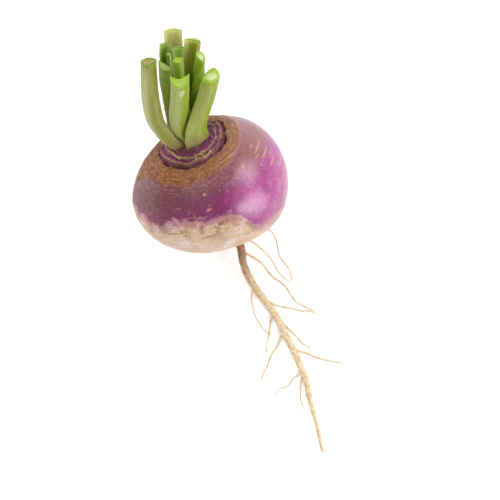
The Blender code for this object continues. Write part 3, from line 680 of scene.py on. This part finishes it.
def build_stalk(name, path, bearings, sizes, slant, seed):
    """A leaf stalk: ribbed outside, channelled inside, cut across with the pith showing."""
    rows, ring_marks, tangent, length = stalk_rings(path, bearings, sizes, slant, seed)
    rows = weather(rows, tangent, seed)
    sides = rows.shape[1]
    faces = skin_faces(len(rows), sides, cap_ends=False)
    faces.append(tuple(reversed(range(sides))))
    last = (len(rows) - 1) * sides
    points = list(rows.reshape(-1, 3))
    marks = {key: list(value.reshape(len(points), -1)) for key, value in ring_marks.items()}
    marks["cut"] = [0.0] * last + [0.85] * sides
    marks["pith"] = [0.0] * len(points)

    # The cut: rows of points from its outer edge to its inner one, sunk where the pith is soft.
    columns = []
    for i in range(STALK_SPAN + 1):
        outer_end = last + i
        inner_end = last + (2 * STALK_SPAN - i) % sides
        if i in (0, STALK_SPAN):
            columns.append([outer_end] * (CUT_ROWS + 1))
            continue
        column = [outer_end]
        thick = np.linalg.norm(points[outer_end] - points[inner_end])
        for k in range(1, CUT_ROWS):
            t = k / CUT_ROWS
            inside = math.sin(math.pi * t) * math.sin(math.pi * i / STALK_SPAN)
            sink = PITH_SINK * min(thick, PITH_THICK) * float(smooth(0.45, 1.0, inside))
            swell = CUT_SWELL * float(smooth(0.0, 0.35, inside))
            column.append(len(points))
            points.append(points[outer_end] * (1 - t) + points[inner_end] * t
                          + tangent * (swell - sink))
            side = marks["across"][outer_end]
            new = {"grown": (marks["grown"][outer_end][0], 0.06 + t * thick, length),
                   "across": side, "outer": 0.5, "share": 1.0, "cut": 1.0, "pith": inside}
            for key, value in new.items():
                marks[key].append(value)
        column.append(inner_end)
        columns.append(column)
    for left, right in zip(columns, columns[1:]):
        for k in range(CUT_ROWS):
            corners = tuple(dict.fromkeys((left[k + 1], right[k + 1], right[k], left[k])))
            if len(corners) > 2:
                faces.append(corners)
    marks = {key: np.array([np.ravel(v) for v in values], dtype=float)
             for key, values in marks.items()}
    return make_object(name + "_skin", points, faces, TO_ROW, marks)


# --- Scraps and buds on the crown ---

FLAKE_ROWS, FLAKE_COLUMNS = 7, 3
FLAKE_TAPER = 2.5  # the higher, the nearer to its tip a flake begins to narrow
FLAKE_TEAR = 0.3  # unevenness of its width
FLAKE_HOLLOW = 0.35
FLAKE_SINK = 0.15 * MM
FLAKE_SWING = 0.9  # most that it is turned from straight outward
FLAKES_TURNED = 0.35  # share of them that curl inward
FLAKE_LENGTHS, FLAKE_WIDTHS, FLAKE_CURLS = (0.5, 1.3), (0.6, 1.4), (0.6, 1.2)
FLAKES_SEED = 5
SCRAP_RINGS = (12.7, 13.6, 13.9, 16.6, 17.0)
SCRAP_SCATTER = 0.4
SCRAP_BEARINGS = (-175, 60)
SCRAP_COUNT = 30
CORK_FLAKE_RADII = (17.0, 19.6)
CORK_FLAKE_BEARINGS = (-60, 30)
CORK_FLAKE_COUNT = 14
BUDS = ((11.6 * MM, -136), (15.6 * MM, -80), (15.2 * MM, -77), (13.4 * MM, 14))
COLLAR_BEARINGS = (158.0, 258.0)
COLLAR_STEPS = 12
COLLAR_RADIUS = 13.9 * MM
COLLAR_WAVE, COLLAR_WAVES = 0.35 * MM, 5.0
COLLAR_LIFT = 0.3 * MM
COLLAR_THICK = (0.25, 0.50, 0.45, 0.40, 0.50, 0.55, 0.80, 0.35, 0.20)
COLLAR_SIDES, COLLAR_RINGS, COLLAR_ROUGH, COLLAR_SEED = 14, 160, 0.35, 31.0


def flake(base, up, out, length, width, curl, rng):
    """A thin torn leaf scar: a strip that stands on the crown and curls over."""
    points, faces = [], []
    side = up.cross(out).normalized()
    for i in range(FLAKE_ROWS + 1):
        t = i / FLAKE_ROWS
        bend = curl * t
        centre = base + up * (length * math.sin(bend) / curl)
        centre = centre + out * (length * (1 - math.cos(bend)) / curl)
        taper = (1.0 - t ** FLAKE_TAPER) * (1.0 + FLAKE_TEAR * rng.uniform(-1, 1))
        for j in range(FLAKE_COLUMNS + 1):
            u = j / FLAKE_COLUMNS - 0.5
            hollow = -FLAKE_HOLLOW * width * u * u
            points.append(centre + side * (u * width * taper) + out * hollow)
    wide = FLAKE_COLUMNS + 1
    for i in range(FLAKE_ROWS):
        for a in range(i * wide, i * wide + FLAKE_COLUMNS):
            faces.append((a, a + 1, a + wide + 1, a + wide))
    return points, faces


def crown_place(radius, bearing):
    """Point on the crown at that radius among its rings, and the way outward there."""
    radius -= float(ring_shift(radius, bearing))
    out = Vector((math.cos(bearing), math.sin(bearing), 0.0))
    x, y = radius * out.x, radius * out.y
    return Vector((x, y, crown_height(x, y) - FLAKE_SINK)), out


def build_collar():
    """The thick pale lip that the torn leaf bases leave along the inner ring on the left."""
    path = []
    for bearing in np.radians(np.linspace(*COLLAR_BEARINGS, COLLAR_STEPS + 1)):
        radius = COLLAR_RADIUS + COLLAR_WAVE * math.sin(COLLAR_WAVES * bearing)
        spot, _ = crown_place(radius, bearing)
        path.append(spot + Vector((0.0, 0.0, COLLAR_LIFT)))
    thick = [t * MM for t in COLLAR_THICK]
    points, _ = tube(path, thick, COLLAR_SIDES, COLLAR_RINGS, COLLAR_ROUGH, COLLAR_SEED)
    faces = skin_faces(COLLAR_RINGS, COLLAR_SIDES)
    return make_object("crown_collar", points.reshape(-1, 3), faces, TO_ROW)


def build_flakes(name, places, rng, length, width, curl, thickness):
    """Many flakes as one piece."""
    points, faces = [], []
    for radius, degrees in places:
        base, out = crown_place(radius, math.radians(degrees))
        out = Matrix.Rotation(rng.uniform(-FLAKE_SWING, FLAKE_SWING), 3, "Z") @ out
        if rng.random() < FLAKES_TURNED:
            out = -out
        sizes = [size * rng.uniform(*limits) for size, limits in (
            (length, FLAKE_LENGTHS), (width, FLAKE_WIDTHS), (curl, FLAKE_CURLS))]
        more, more_faces = flake(base, Vector((0, 0, 1)), out, *sizes, rng)
        start = len(points)
        points.extend(more)
        faces.extend(tuple(start + i for i in face) for face in more_faces)
    obj = make_object(name, points, faces, TO_ROW)
    solid = obj.modifiers.new("thickness", "SOLIDIFY")
    solid.thickness = thickness
    solid.offset = 0.0
    return obj


# --- Materials ---

LIGHT_LEVEL = 1.30  # light on an open face; a colour is divided by it to look right
RING_SPAN = 26.0  # radius at the end of the neck's ramp of colours, in millimetres
# Colours across the neck's rings, each at a share of that radius.
NECK_STOPS = (
    (0.300, (92, 70, 44)), (0.400, (98, 26, 66)), (0.460, (134, 30, 100)), (0.508, (120, 30, 84)),
    (0.521, (192, 154, 104)), (0.546, (144, 96, 58)), (0.561, (100, 14, 68)),
    (0.590, (142, 16, 104)), (0.625, (148, 36, 116)), (0.642, (190, 144, 98)),
    (0.662, (126, 70, 44)), (0.678, (110, 26, 62)), (0.700, (96, 20, 54)), (0.726, (126, 46, 60)),
    (0.742, (150, 98, 58)),
)


def tint(colour):
    """Linear colour from the 0 to 255 values to show under the studio's light, if it has three."""
    if not isinstance(colour, tuple) or len(colour) != 3:
        return colour
    shares = [value / 255.0 for value in colour]
    linear = [v / 12.92 if v <= 0.04045 else ((v + 0.055) / 1.055) ** 2.4 for v in shares]
    return (*(v / LIGHT_LEVEL for v in linear), 1.0)


class Value:
    """What a node gives out: a number or a colour that more nodes can be built on."""

    def __init__(self, shader, socket):
        self.shader, self.socket = shader, socket

    def __add__(self, other):
        return self.shader.math("ADD", self, other)

    def __sub__(self, other):
        return self.shader.math("SUBTRACT", self, other)

    def __mul__(self, other):
        return self.shader.math("MULTIPLY", self, other)

    def step(self, low, high, start=0.0, end=1.0):
        """start below low, end above high, smooth between. low may be above high."""
        if low > high:
            low, high, start, end = high, low, end, start
        return self.shader.put("ShaderNodeMapRange", {
            "Value": self, "From Min": low, "From Max": high, "To Min": start, "To Max": end},
            interpolation_type="SMOOTHSTEP")

    def under(self, share, colour):
        """This colour with a share of another laid over it."""
        return self.shader.mix(share, self, colour)


class Shader:
    """A material whose nodes are written as short calls. Sizes are in millimetres."""

    def __init__(self, name):
        self.material = bpy.data.materials.new(name)
        self.material.use_nodes = True
        self.tree = self.material.node_tree
        self.grown = self.place("grown")

    def wire(self, socket, value):
        if isinstance(value, Value):
            self.tree.links.new(value.socket, socket)
        else:
            socket.default_value = value

    def put(self, kind, inputs, out=0, **settings):
        """A new node's output; inputs may be numbers, places, colours or other nodes' values."""
        node = self.tree.nodes.new(kind)
        for key, value in settings.items():
            setattr(node, key, value)
        for key, value in inputs.items():
            self.wire(node.inputs[key], value)
        return Value(self, node.outputs[out])

    def mark(self, name):
        return self.put("ShaderNodeAttribute", {}, "Fac", attribute_name=name)

    def place(self, name):
        return self.put("ShaderNodeAttribute", {}, "Vector", attribute_name=name)

    def math(self, operation, a, b=0.0):
        return self.put("ShaderNodeMath", {0: a, 1: b}, operation=operation)

    def vector(self, operation, a, b=(0.0, 0.0, 0.0), out="Vector"):
        return self.put("ShaderNodeVectorMath", {0: a, 1: b}, out, operation=operation)

    def scaled(self, size, stretch, shift, at):
        return self.put("ShaderNodeMapping", {
            "Vector": at or self.grown, "Scale": tuple(s / (size * MM) for s in stretch),
            "Location": (shift,) * 3})

    def noise(self, size, detail=3.0, roughness=0.55, shift=0.0, stretch=(1, 1, 1), at=None):
        """Soft noise about 0 to 1, with features of that size, finer along the stretched axes."""
        return self.put("ShaderNodeTexNoise", {
            "Vector": self.scaled(size, stretch, shift, at), "Scale": 1.0, "Detail": detail,
            "Roughness": roughness}, "Fac")

    def cells(self, size, shift):
        """Distance to the nearest of many scattered spots, that size apart."""
        return self.put("ShaderNodeTexVoronoi", {
            "Vector": self.scaled(size, (1, 1, 1), shift, None), "Scale": 1.0}, "Distance")

    def mix(self, share, a, b):
        inputs = {0: share, 6: tint(a), 7: tint(b)}
        return self.put("ShaderNodeMix", inputs, 2, data_type="RGBA")

    def ramp(self, value, stops):
        colour = self.put("ShaderNodeValToRGB", {"Fac": value}, "Color")
        elements = colour.socket.node.color_ramp.elements
        while len(elements) < len(stops):
            elements.new(1.0)
        for element, (place, shade) in zip(elements, stops):
            element.position = place
            element.color = tint(shade)
        return colour

    def bump(self, height, distance, strength):
        return self.put("ShaderNodeBump", {
            "Height": height, "Distance": distance * MM, "Strength": strength})

    def finish(self, colour, roughness, **more):
        surface = self.tree.nodes["Principled BSDF"].inputs
        for key, value in {"Base_Color": colour, "Roughness": roughness, **more}.items():
            self.wire(surface[key.replace("_", " ")], value)
        return self.material


def bulb_spot(bearing, down):
    """Place on the bulb's flank at a bearing and an angle down from the crown."""
    bearing, down = math.radians(bearing), math.radians(down)
    radius = BULB_RADIUS * math.sin(down)
    return Vector(swollen(np.float64(radius), bearing, BULB_HALF_HEIGHT * math.cos(down)))


def stroke_distance(s, bearing, down, length, width):
    """0 in the middle of a mark drawn out round the bulb, 1 at its edge."""
    girth = BULB_RADIUS * math.sin(math.radians(down))
    drawn = (2.0 * girth / CROWN_GIRTH / (length * MM),) * 2 + (2.0 / (width * MM),)
    turn = math.radians(bearing)
    spot = (math.cos(turn) * CROWN_GIRTH, math.sin(turn) * CROWN_GIRTH,
            math.radians(down) * BULB_RADIUS * ROLLED_SHARE)
    spot = tuple(a * b for a, b in zip(spot, drawn))
    place = s.vector("MULTIPLY", s.place("rolled"), drawn)
    return s.vector("DISTANCE", place, spot, "Value")


def shade_purple(s, across, polar, cork):
    """The purple top: dull and dusty on the left and near the cork, bright magenta to the right."""
    cloud = s.noise(9.0, 4, 0.62, 5.0)
    drift = cloud - 0.5
    east = (across + drift * 0.018).step(-0.006, 0.024)
    low = (polar + drift * 24.0).step(50.0, 74.0)
    left = s.mix(low, (118, 42, 68), (134, 24, 98))
    right = s.mix(low, (146, 66, 104), (170, 40, 134))
    top = s.mix(east, left, right)
    far_right = across.step(0.020, 0.036) * polar.step(62.0, 84.0)
    top = top.under(far_right * cloud.step(0.35, 0.65, 0.3, 0.9), (176, 44, 138))
    rim = across.step(0.012, 0.030) * polar.step(88.0, 108.0)
    top = top.under(rim * 0.6, (176, 104, 128))
    # Pale pink mottling, stronger to the right: partly the skin's own, partly painted sheen where
    # the windows fall.
    pale = s.noise(5.0, 5, 0.66, 3.0, (1, 1, 1.3))
    top = top.under(pale.step(0.46, 0.66) * east.step(0.0, 1.0, 0.06, 0.34), (204, 128, 178))
    high = across.step(0.010, 0.026) * polar.step(74.0, 50.0)
    top = top.under(high * 0.70, (158, 104, 96))
    # Painted highlight: a pale pink patch that spreads the lower glint to the left.
    painted_sheen = across.step(0.006, 0.020) * polar.step(72.0, 92.0)
    top = top.under(painted_sheen * pale.step(0.38, 0.60, 0.10, 0.40), (206, 118, 172))
    west = across.step(-0.010, -0.036)
    top = top.under(west * polar.step(84.0, 56.0, 0.0, 0.52), (122, 68, 70))

    # Dust of fine cork grains, thicker towards the cork.
    grains = s.noise(1.05, 4, 0.75, 12.0)
    streaks = s.noise(5.0, 4, 0.66, 33.0, (1, 1, 7.0), s.place("rolled"))
    near = (cork + drift * 10.0).step(-16.0, -1.0, 0.0, 0.60)
    dusty = (grains * 0.5 + streaks * 0.5).step(0.45, 0.56)
    top = top.under(dusty * (near + west * 0.20), (172, 118, 84))
    top = top.under(grains.step(0.56, 0.68, 0.0, 0.26), (190, 126, 136))
    return top.under(grains.step(0.47, 0.34, 0.0, 0.50), (60, 10, 42))


def shade_cream(s, across, polar, purple):
    """The pale underside: mauve and tan by the purple, cream below, cracked and stained."""
    depth = (s.noise(8.0, 4, 0.6) - 0.5) * 14.0 - purple
    east = across.step(-0.006, 0.026)
    light = s.noise(7.0, 4, 0.6, 21.0)
    stain = s.noise(4.6, 5, 0.66, 3.0, (1, 1, 1.5))
    cracks = s.noise(3.2, 5, 0.66, 8.0, (1, 1, 3.6), s.place("rolled"))
    grains = s.noise(0.8, 3, 0.7, 31.0)
    cream = s.mix(depth.step(2.0, 15.0), (180, 126, 104), (222, 188, 156))
    for share, shade in (
            (depth.step(12.0, 30.0) * east.step(0.0, 1.0, 0.12, 0.95), (206, 156, 102)),
            (light.step(0.48, 0.62) * east.step(0.0, 1.0, 0.72, 0.40), (240, 212, 206)),
            (stain.step(0.50, 0.61) * depth.step(28.0, 6.0, 0.22, 0.80), (160, 104, 62)),
            (cracks.step(0.62, 0.67, 0.0, 0.70), (146, 98, 62)),
            (grains.step(0.54, 0.70, 0.0, 0.45), (186, 140, 108)),
            # Tan root base, darkened further as painted shade on the underside.
            (polar.step(146.0, 172.0), (172, 120, 70))):
        cream = cream.under(share, shade)
    return cream


def shade_crown(s, ring, crust, across, toward):
    """The neck's rings: magenta between torn tan crests, darkest in the deep groove."""
    wobble = (s.noise(4.6, 5, 0.70, 6.0, (1, 1, 1.6), s.place("rolled")) - 0.5) * 1.9
    front = toward.step(-0.004, -0.013) * across.step(0.011, 0.004)
    place = (ring + wobble - front * 0.35) * (1.0 / RING_SPAN)
    painted_sheen = s.noise(3.6, 3, 0.6, 14.0)
    torn = crust.step(0.58, 0.66, 0.0, 0.85) * place.step(0.76, 0.66, 0.9, 0.55)
    shaded = toward.step(-0.007, -0.015) * across.step(0.003, -0.004, 0.0, 0.5)
    neck = s.ramp(place, NECK_STOPS)
    # Painted sheen: lilac patches over the inner rings.
    neck = neck.under(painted_sheen.step(0.52, 0.68) * place.step(0.68, 0.60, 0.0, 0.45), (168, 96, 166))
    neck = neck.under(torn, (184, 132, 82))
    neck = neck.under(shaded, (64, 26, 22))
    return neck.under(crust.step(0.42, 0.30, 0.0, 0.50), (62, 14, 42))


def shade_cork(s, across, crust, specks):
    """The corky band: torn tan flakes with brown between, and purple where they have gone."""
    bare = s.noise(3.0, 3, 0.6, 27.0, (1, 1, 2.6), s.place("rolled"))
    tan = s.mix(crust.step(0.36, 0.60), (106, 56, 22), (172, 108, 54))
    tan = tan.under(specks.step(0.53, 0.64, 0.0, 0.70), (212, 152, 92))
    tan = tan.under(specks.step(0.46, 0.36, 0.0, 0.50), (72, 30, 14))
    tan = tan.under(bare.step(0.62, 0.70, 0.0, 0.70), (108, 40, 62))
    return tan.under(across.step(0.004, 0.020) * 0.35, (180, 124, 84))


def lay_marks(s, colour):
    """Scars, pale pores, streaks and cracks over the skin's colour."""
    ragged = s.noise(1.0, 3, 0.7) - 0.5
    for bearing, down, radius, kind in SCARS:
        spot = s.vector("DISTANCE", s.grown, bulb_spot(bearing, down), "Value")
        radius = radius * MM
        away = spot + ragged * (SCAR_RAGGED[kind] * radius)
        if kind == "pale":
            colour = colour.under(away.step(radius, 0.45 * radius, 0.0, 0.65), (214, 166, 150))
            continue
        band = away.step(0.55 * radius, 0.85 * radius) * away.step(1.35 * radius, radius)
        colour = colour.under(away.step(0.9 * radius, 0.5 * radius, 0.0, 0.6), (84, 36, 62))
        colour = colour.under(band * 0.50, (160, 104, 98))
    for bearing, down, length, width, kind in STROKES:
        away = stroke_distance(s, bearing, down, length, width) + ragged * STROKE_RAGGED
        share, shade = STROKE_LOOKS[kind]
        colour = colour.under(away.step(1.05, 0.70, 0.0, share), shade)
    return colour


def bulb_material():
    s = Shader("turnip_skin")
    across, toward = (s.put("ShaderNodeSeparateXYZ", {"Vector": s.grown}, axis) for axis in "XY")
    ring, cork, purple, polar = (s.mark(m) for m in ("ring", "cork", "purple", "polar"))
    top = shade_purple(s, across, polar, cork)
    cream = shade_cream(s, across, polar, purple)

    # The two meet along an uneven edge that blushes into the cream.
    coarse = (s.noise(5.5, 4, 0.62, 7.0, (1, 1, 1.3)) - 0.5) * 20.0
    fine = (s.noise(1.5, 4, 0.66, 1.0) - 0.5) * 12.0
    edge = purple + (coarse + fine)
    patchy = s.noise(4.0, 4, 0.6, 44.0).step(0.40, 0.60, 0.15, 0.70)
    blush = cream.under(edge.step(-11.0, 0.0) * patchy, (190, 126, 160))
    colour = lay_marks(s, blush.under(edge.step(-2.0, 3.0), top))

    # The cork and the ringed neck lie over them.
    crust = s.noise(4.2, 6, 0.74, 4.0, (1, 1, 5.6), s.place("rolled"))
    specks = s.noise(1.0, 4, 0.75, 17.0)
    cork_share = (cork + (s.noise(1.8, 4, 0.68) - 0.5) * 9.0).step(-3.0, 2.5)
    neck_share = ring.step(19.7, 18.9)
    colour = colour.under(cork_share * 0.96, shade_cork(s, across, crust, specks))
    colour = colour.under(neck_share, shade_crown(s, ring, crust, across, toward))
    # Painted shade: darker where the relief sinks deepest, in the groove.
    colour = colour.under(s.mark("relief").step(-0.60, -1.5, 0.0, 0.18), (66, 14, 40))

    rough = s.math("MINIMUM", cork_share + neck_share, 1.0)
    height = specks * (rough * 0.7 + 0.18) + crust * rough
    dull = across.step(0.006, -0.016, 0.0, 0.20)
    roughness = rough * 0.38 + (dull + 0.38) + (specks - 0.5) * 0.16
    return s.finish(colour, roughness, Normal=s.bump(height, 0.40, 0.60), Subsurface_Weight=0.05,
                    Subsurface_Scale=0.003, Coat_Weight=0.30, Coat_Roughness=0.34,
                    Specular_IOR_Level=0.42)


def root_material():
    s = Shader("root_skin")
    mottled = s.noise(1.8, 4, 0.65)
    patches = mottled.step(0.35, 0.65)
    near = s.mix(patches, (116, 54, 10), (160, 92, 32))
    far = s.mix(patches, (222, 186, 134), (244, 226, 194))
    scars = s.noise(0.9, 3, 0.6, 4.0, (1, 3.5, 3.5))
    colour = s.mix(s.mark("share").step(0.10, 0.45), near, far)
    colour = colour.under(scars.step(0.60, 0.70, 0.0, 0.55), (142, 96, 54))
    return s.finish(colour, 0.62, Normal=s.bump(mottled + scars * 0.6, 0.25, 0.6),
                    Subsurface_Weight=0.05, Subsurface_Scale=0.002)


def lay_chip(s, colour, spot, grain_and_glint):
    """A chip of skin gone from a stalk: pale round its edge, green in its middle."""
    away = s.vector("MULTIPLY", s.vector("SUBTRACT", s.grown, spot), CHIP_SPREAD)
    away = s.vector("LENGTH", away, out="Value") + (grain_and_glint - 0.5) * 0.8
    colour = colour.under(away.step(1.05, 0.85, 0.0, 0.85), (220, 226, 182))
    return colour.under(away.step(0.40, 0.15, 0.0, 0.70), (150, 178, 70))


def stalk_material(name, seed):
    left, right, inner, rim, cut_edge, cut_pith = STALK_COLOURS[name]
    specks, browning, keel = STALK_WEAR_AND_SHADING.get(name, PLAIN_WEAR_AND_SHADING)
    s = Shader(name + "_skin")
    share, cut, pith, outer, across = (s.mark(m) for m in (
        "share", "cut", "pith", "outer", "across"))
    aside = s.math("ABSOLUTE", across)
    drift = s.noise(5.0, 3, 0.6, seed, (1, 1, 0.4))
    fibre = s.noise(0.9, 3, 0.6, seed + 2.0, (1, 1, 0.06))
    grain_and_glint = s.noise(0.7, 3, 0.6, seed + 1.0)
    flush = s.noise(9.0, 3, 0.55, seed + 14.0, (1, 1, 0.45))
    stain = s.noise(3.0, 4, 0.66, seed + 5.0, (1, 1, 0.5))
    dots = s.noise(0.95, 3, 0.6, seed + 9.0, (1, 1, 0.7))

    # The outer face: painted light, green, on one side of its keel and painted shade, dull, on the
    # other.
    colour = s.mix((across + (drift - 0.5) * 0.5).step(keel - 0.30, keel + 0.22), left, right)
    colour = colour.under(drift.step(0.52, 0.68, 0.0, 0.40), (192, 192, 112))

    # The channel: deep green down its middle and toward the foot, a painted highlight up its sides
    # and along its lip.
    inside = s.mix(share.step(0.45, 1.0), s.mix(0.35, inner, (60, 92, 4)), inner)
    inside = inside.under(aside.step(0.30, 0.90) * share.step(0.40, 0.95, 0.15, 0.85), rim)
    inside = inside.under(share.step(0.90, 0.97) * grain_and_glint.step(0.40, 0.56, 0.20, 0.75), rim)
    colour = inside.under(outer, colour)

    # Fibres, old blotches and specks, a painted highlight along the rim, and browning at the foot.
    dotted = dots.step(0.59, 0.66, 0.0, specks) * stain.step(0.44, 0.56, 0.15, 1.0)
    foot = (share + (stain - 0.5) * 0.20).step(0.26, 0.0, 0.0, browning)
    heel = (share + (grain_and_glint - 0.5) * 0.05).step(0.050, 0.01, 0.0, browning)
    for amount, shade in (
            (fibre.step(0.48, 0.32, 0.0, 0.20), (84, 96, 14)),
            (fibre.step(0.55, 0.72, 0.0, 0.14), (212, 218, 130)),
            (flush.step(0.52, 0.36, 0.0, 0.42) * outer, (126, 138, 24)),
            (stain.step(0.60, 0.74, 0.0, 0.45) * outer, (152, 130, 70)),
            (dotted * outer, (88, 64, 26)),
            (aside.step(0.86, 0.97) * share.step(0.35, 0.9, 0.1, 0.8), rim),
            (foot, (166, 144, 92)),
            (heel, (164, 116, 92)),
            (share.step(0.970, 0.995, 0.0, 0.80), cut_edge)):
        colour = colour.under(amount, shade)
    if name in STALK_CHIPS:
        colour = lay_chip(s, colour, STALK_CHIPS[name], grain_and_glint)

    # The cut: green at its edge, paler pith, a ring of small bundles, and painted glints.
    face = s.mix((pith + (grain_and_glint - 0.5) * 0.45).step(0.50, 1.0), cut_edge, cut_pith)
    bundles = s.cells(0.95, seed).step(0.28, 0.16, 0.0, 0.6) * pith.step(0.80, 0.35)
    face = face.under(bundles, s.mix(0.5, cut_edge, (90, 104, 10)))
    # Painted glints: near-white spots on the cut face.
    face = face.under(grain_and_glint.step(0.58, 0.70, 0.0, 0.55), (236, 240, 206))
    colour = colour.under(cut.step(0.3, 0.8), face)
    return s.finish(colour, cut.step(0.0, 1.0, 0.50, 0.32),
                    Normal=s.bump(fibre * 0.8 + grain_and_glint * 0.25, 0.30, 0.5), Specular_IOR_Level=0.22,
                    Subsurface_Weight=0.12, Subsurface_Scale=0.003)


def scrap_material(name, light, dark):
    s = Shader(name)
    grains = s.noise(0.7, 4, 0.65)
    colour = s.mix(grains.step(0.35, 0.65), dark, light)
    return s.finish(colour, 0.7, Normal=s.bump(grains, 0.15, 0.5))


# --- Studio ---

CAMERA_LENS = 200.0  # millimetres, on a 36 mm sensor
CAMERA_HEIGHT = 1.38  # above the bulb's centre
CAMERA_ROLL = math.radians(-24.7)
PICTURE_CENTRE = Vector((4.8, -47.2)) * MM
FLOOR_SIZE = 3.0  # half its width
FLOOR_GLOW = 0.22
WORLD_STRENGTH = 0.92
# Two soft windows to the right, low, with their glints, and a broad fill on the left: direction
# from the bulb, distance, size, power, and whether it lights or only shows in the skin's gloss.
LIGHTS = (
    ("window_far", (0.760, 0.280, 0.580), 0.80, 0.34, 1.6, True),
    ("window_near", (0.560, -0.590, 0.590), 0.80, 0.34, 1.7, True),
    ("glint_far", (0.810, 0.198, 0.540), 0.80, 0.50, 3.0, False),
    ("glint_near", (0.630, -0.590, 0.510), 0.80, 0.56, 6.2, False),
    ("fill", (-0.30, 0.55, 0.78), 1.5, 1.2, 6.0, True),
)


def build_floor():
    mesh = bpy.data.meshes.new("floor")
    shape = bmesh.new()
    bmesh.ops.create_grid(shape, x_segments=1, y_segments=1, size=FLOOR_SIZE)
    shape.to_mesh(mesh)
    shape.free()
    s = Shader("floor_paper")
    paper = s.mix(s.noise(400.0, 2), (0.93, 0.93, 0.93, 1.0), (0.96, 0.96, 0.96, 1.0))
    mesh.materials.append(s.finish(paper, 0.9, Emission_Color=(1.0, 1.0, 1.0, 1.0),
                                   Emission_Strength=FLOOR_GLOW))
    add_object("floor", mesh)


def build_studio():
    build_floor()
    world = bpy.data.worlds.new("studio")
    bpy.context.scene.world = world
    world.use_nodes = True
    background = world.node_tree.nodes["Background"].inputs
    background["Color"].default_value = (1.0, 1.0, 1.0, 1.0)
    background["Strength"].default_value = WORLD_STRENGTH

    # The skin mirrors the lights and the floor alone, so that its colours stay deep.
    world.cycles_visibility.glossy = False
    for name, direction, distance, size, power, lights_up in LIGHTS:
        data = bpy.data.lights.new(name, "AREA")
        data.shape = "DISK"
        data.size = size
        data.energy = power
        light = add_object(name, data)
        way = Vector(direction).normalized()
        light.location = CENTRE + way * distance
        light.rotation_euler = way.to_track_quat("Z", "Y").to_euler()
        light.visible_diffuse = lights_up

    data = bpy.data.cameras.new("camera")
    data.lens = CAMERA_LENS
    data.sensor_width = 36.0
    data.clip_start = 0.05
    camera = add_object("camera", data)
    camera.location = (PICTURE_CENTRE.x, PICTURE_CENTRE.y, CENTRE.z + CAMERA_HEIGHT)
    camera.rotation_euler = (0.0, 0.0, CAMERA_ROLL)
    bpy.context.scene.camera = camera
    bpy.context.scene.view_settings.view_transform = "Standard"


# --- Assembly ---


def place(piece, node, material):
    piece.data.materials.append(material)
    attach(piece, "root")
    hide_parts(node)


def main():
    build_studio()
    place(build_bulb(), "turnip_root", bulb_material())
    place(build_roots(), "turnip_root", root_material())
    for index, (name, path, bearings, sizes, slant) in enumerate(STALKS):
        seed = STALK_SEED_STEP * index
        stalk = build_stalk(name, path, bearings, sizes, slant, seed)
        place(stalk, name, stalk_material(name, seed))
    rng = random.Random(FLAKES_SEED)
    places = [((rng.choice(SCRAP_RINGS) + rng.uniform(-SCRAP_SCATTER, SCRAP_SCATTER)) * MM,
               rng.uniform(*SCRAP_BEARINGS)) for _ in range(SCRAP_COUNT)]
    scraps = build_flakes("crown_scraps", places, rng, 2.1 * MM, 0.8 * MM, 1.5, 0.08 * MM)
    place(scraps, "turnip_root", scrap_material("dry_scraps", (224, 200, 160), (156, 104, 70)))
    places = [(rng.uniform(*CORK_FLAKE_RADII) * MM, rng.uniform(*CORK_FLAKE_BEARINGS))
              for _ in range(CORK_FLAKE_COUNT)]
    flakes = build_flakes("cork_flakes", places, rng, 2.0 * MM, 1.2 * MM, 1.6, 0.10 * MM)
    place(flakes, "turnip_root", scrap_material("cork_flakes", (188, 130, 78), (116, 64, 34)))
    buds = build_flakes("crown_buds", BUDS, rng, 2.2 * MM, 0.9 * MM, 0.7, 0.25 * MM)
    place(buds, "turnip_root", scrap_material("buds", (190, 198, 74), (128, 140, 40)))
    place(build_collar(), "turnip_root", scrap_material("collar", (200, 176, 122), (126, 88, 54)))


main()
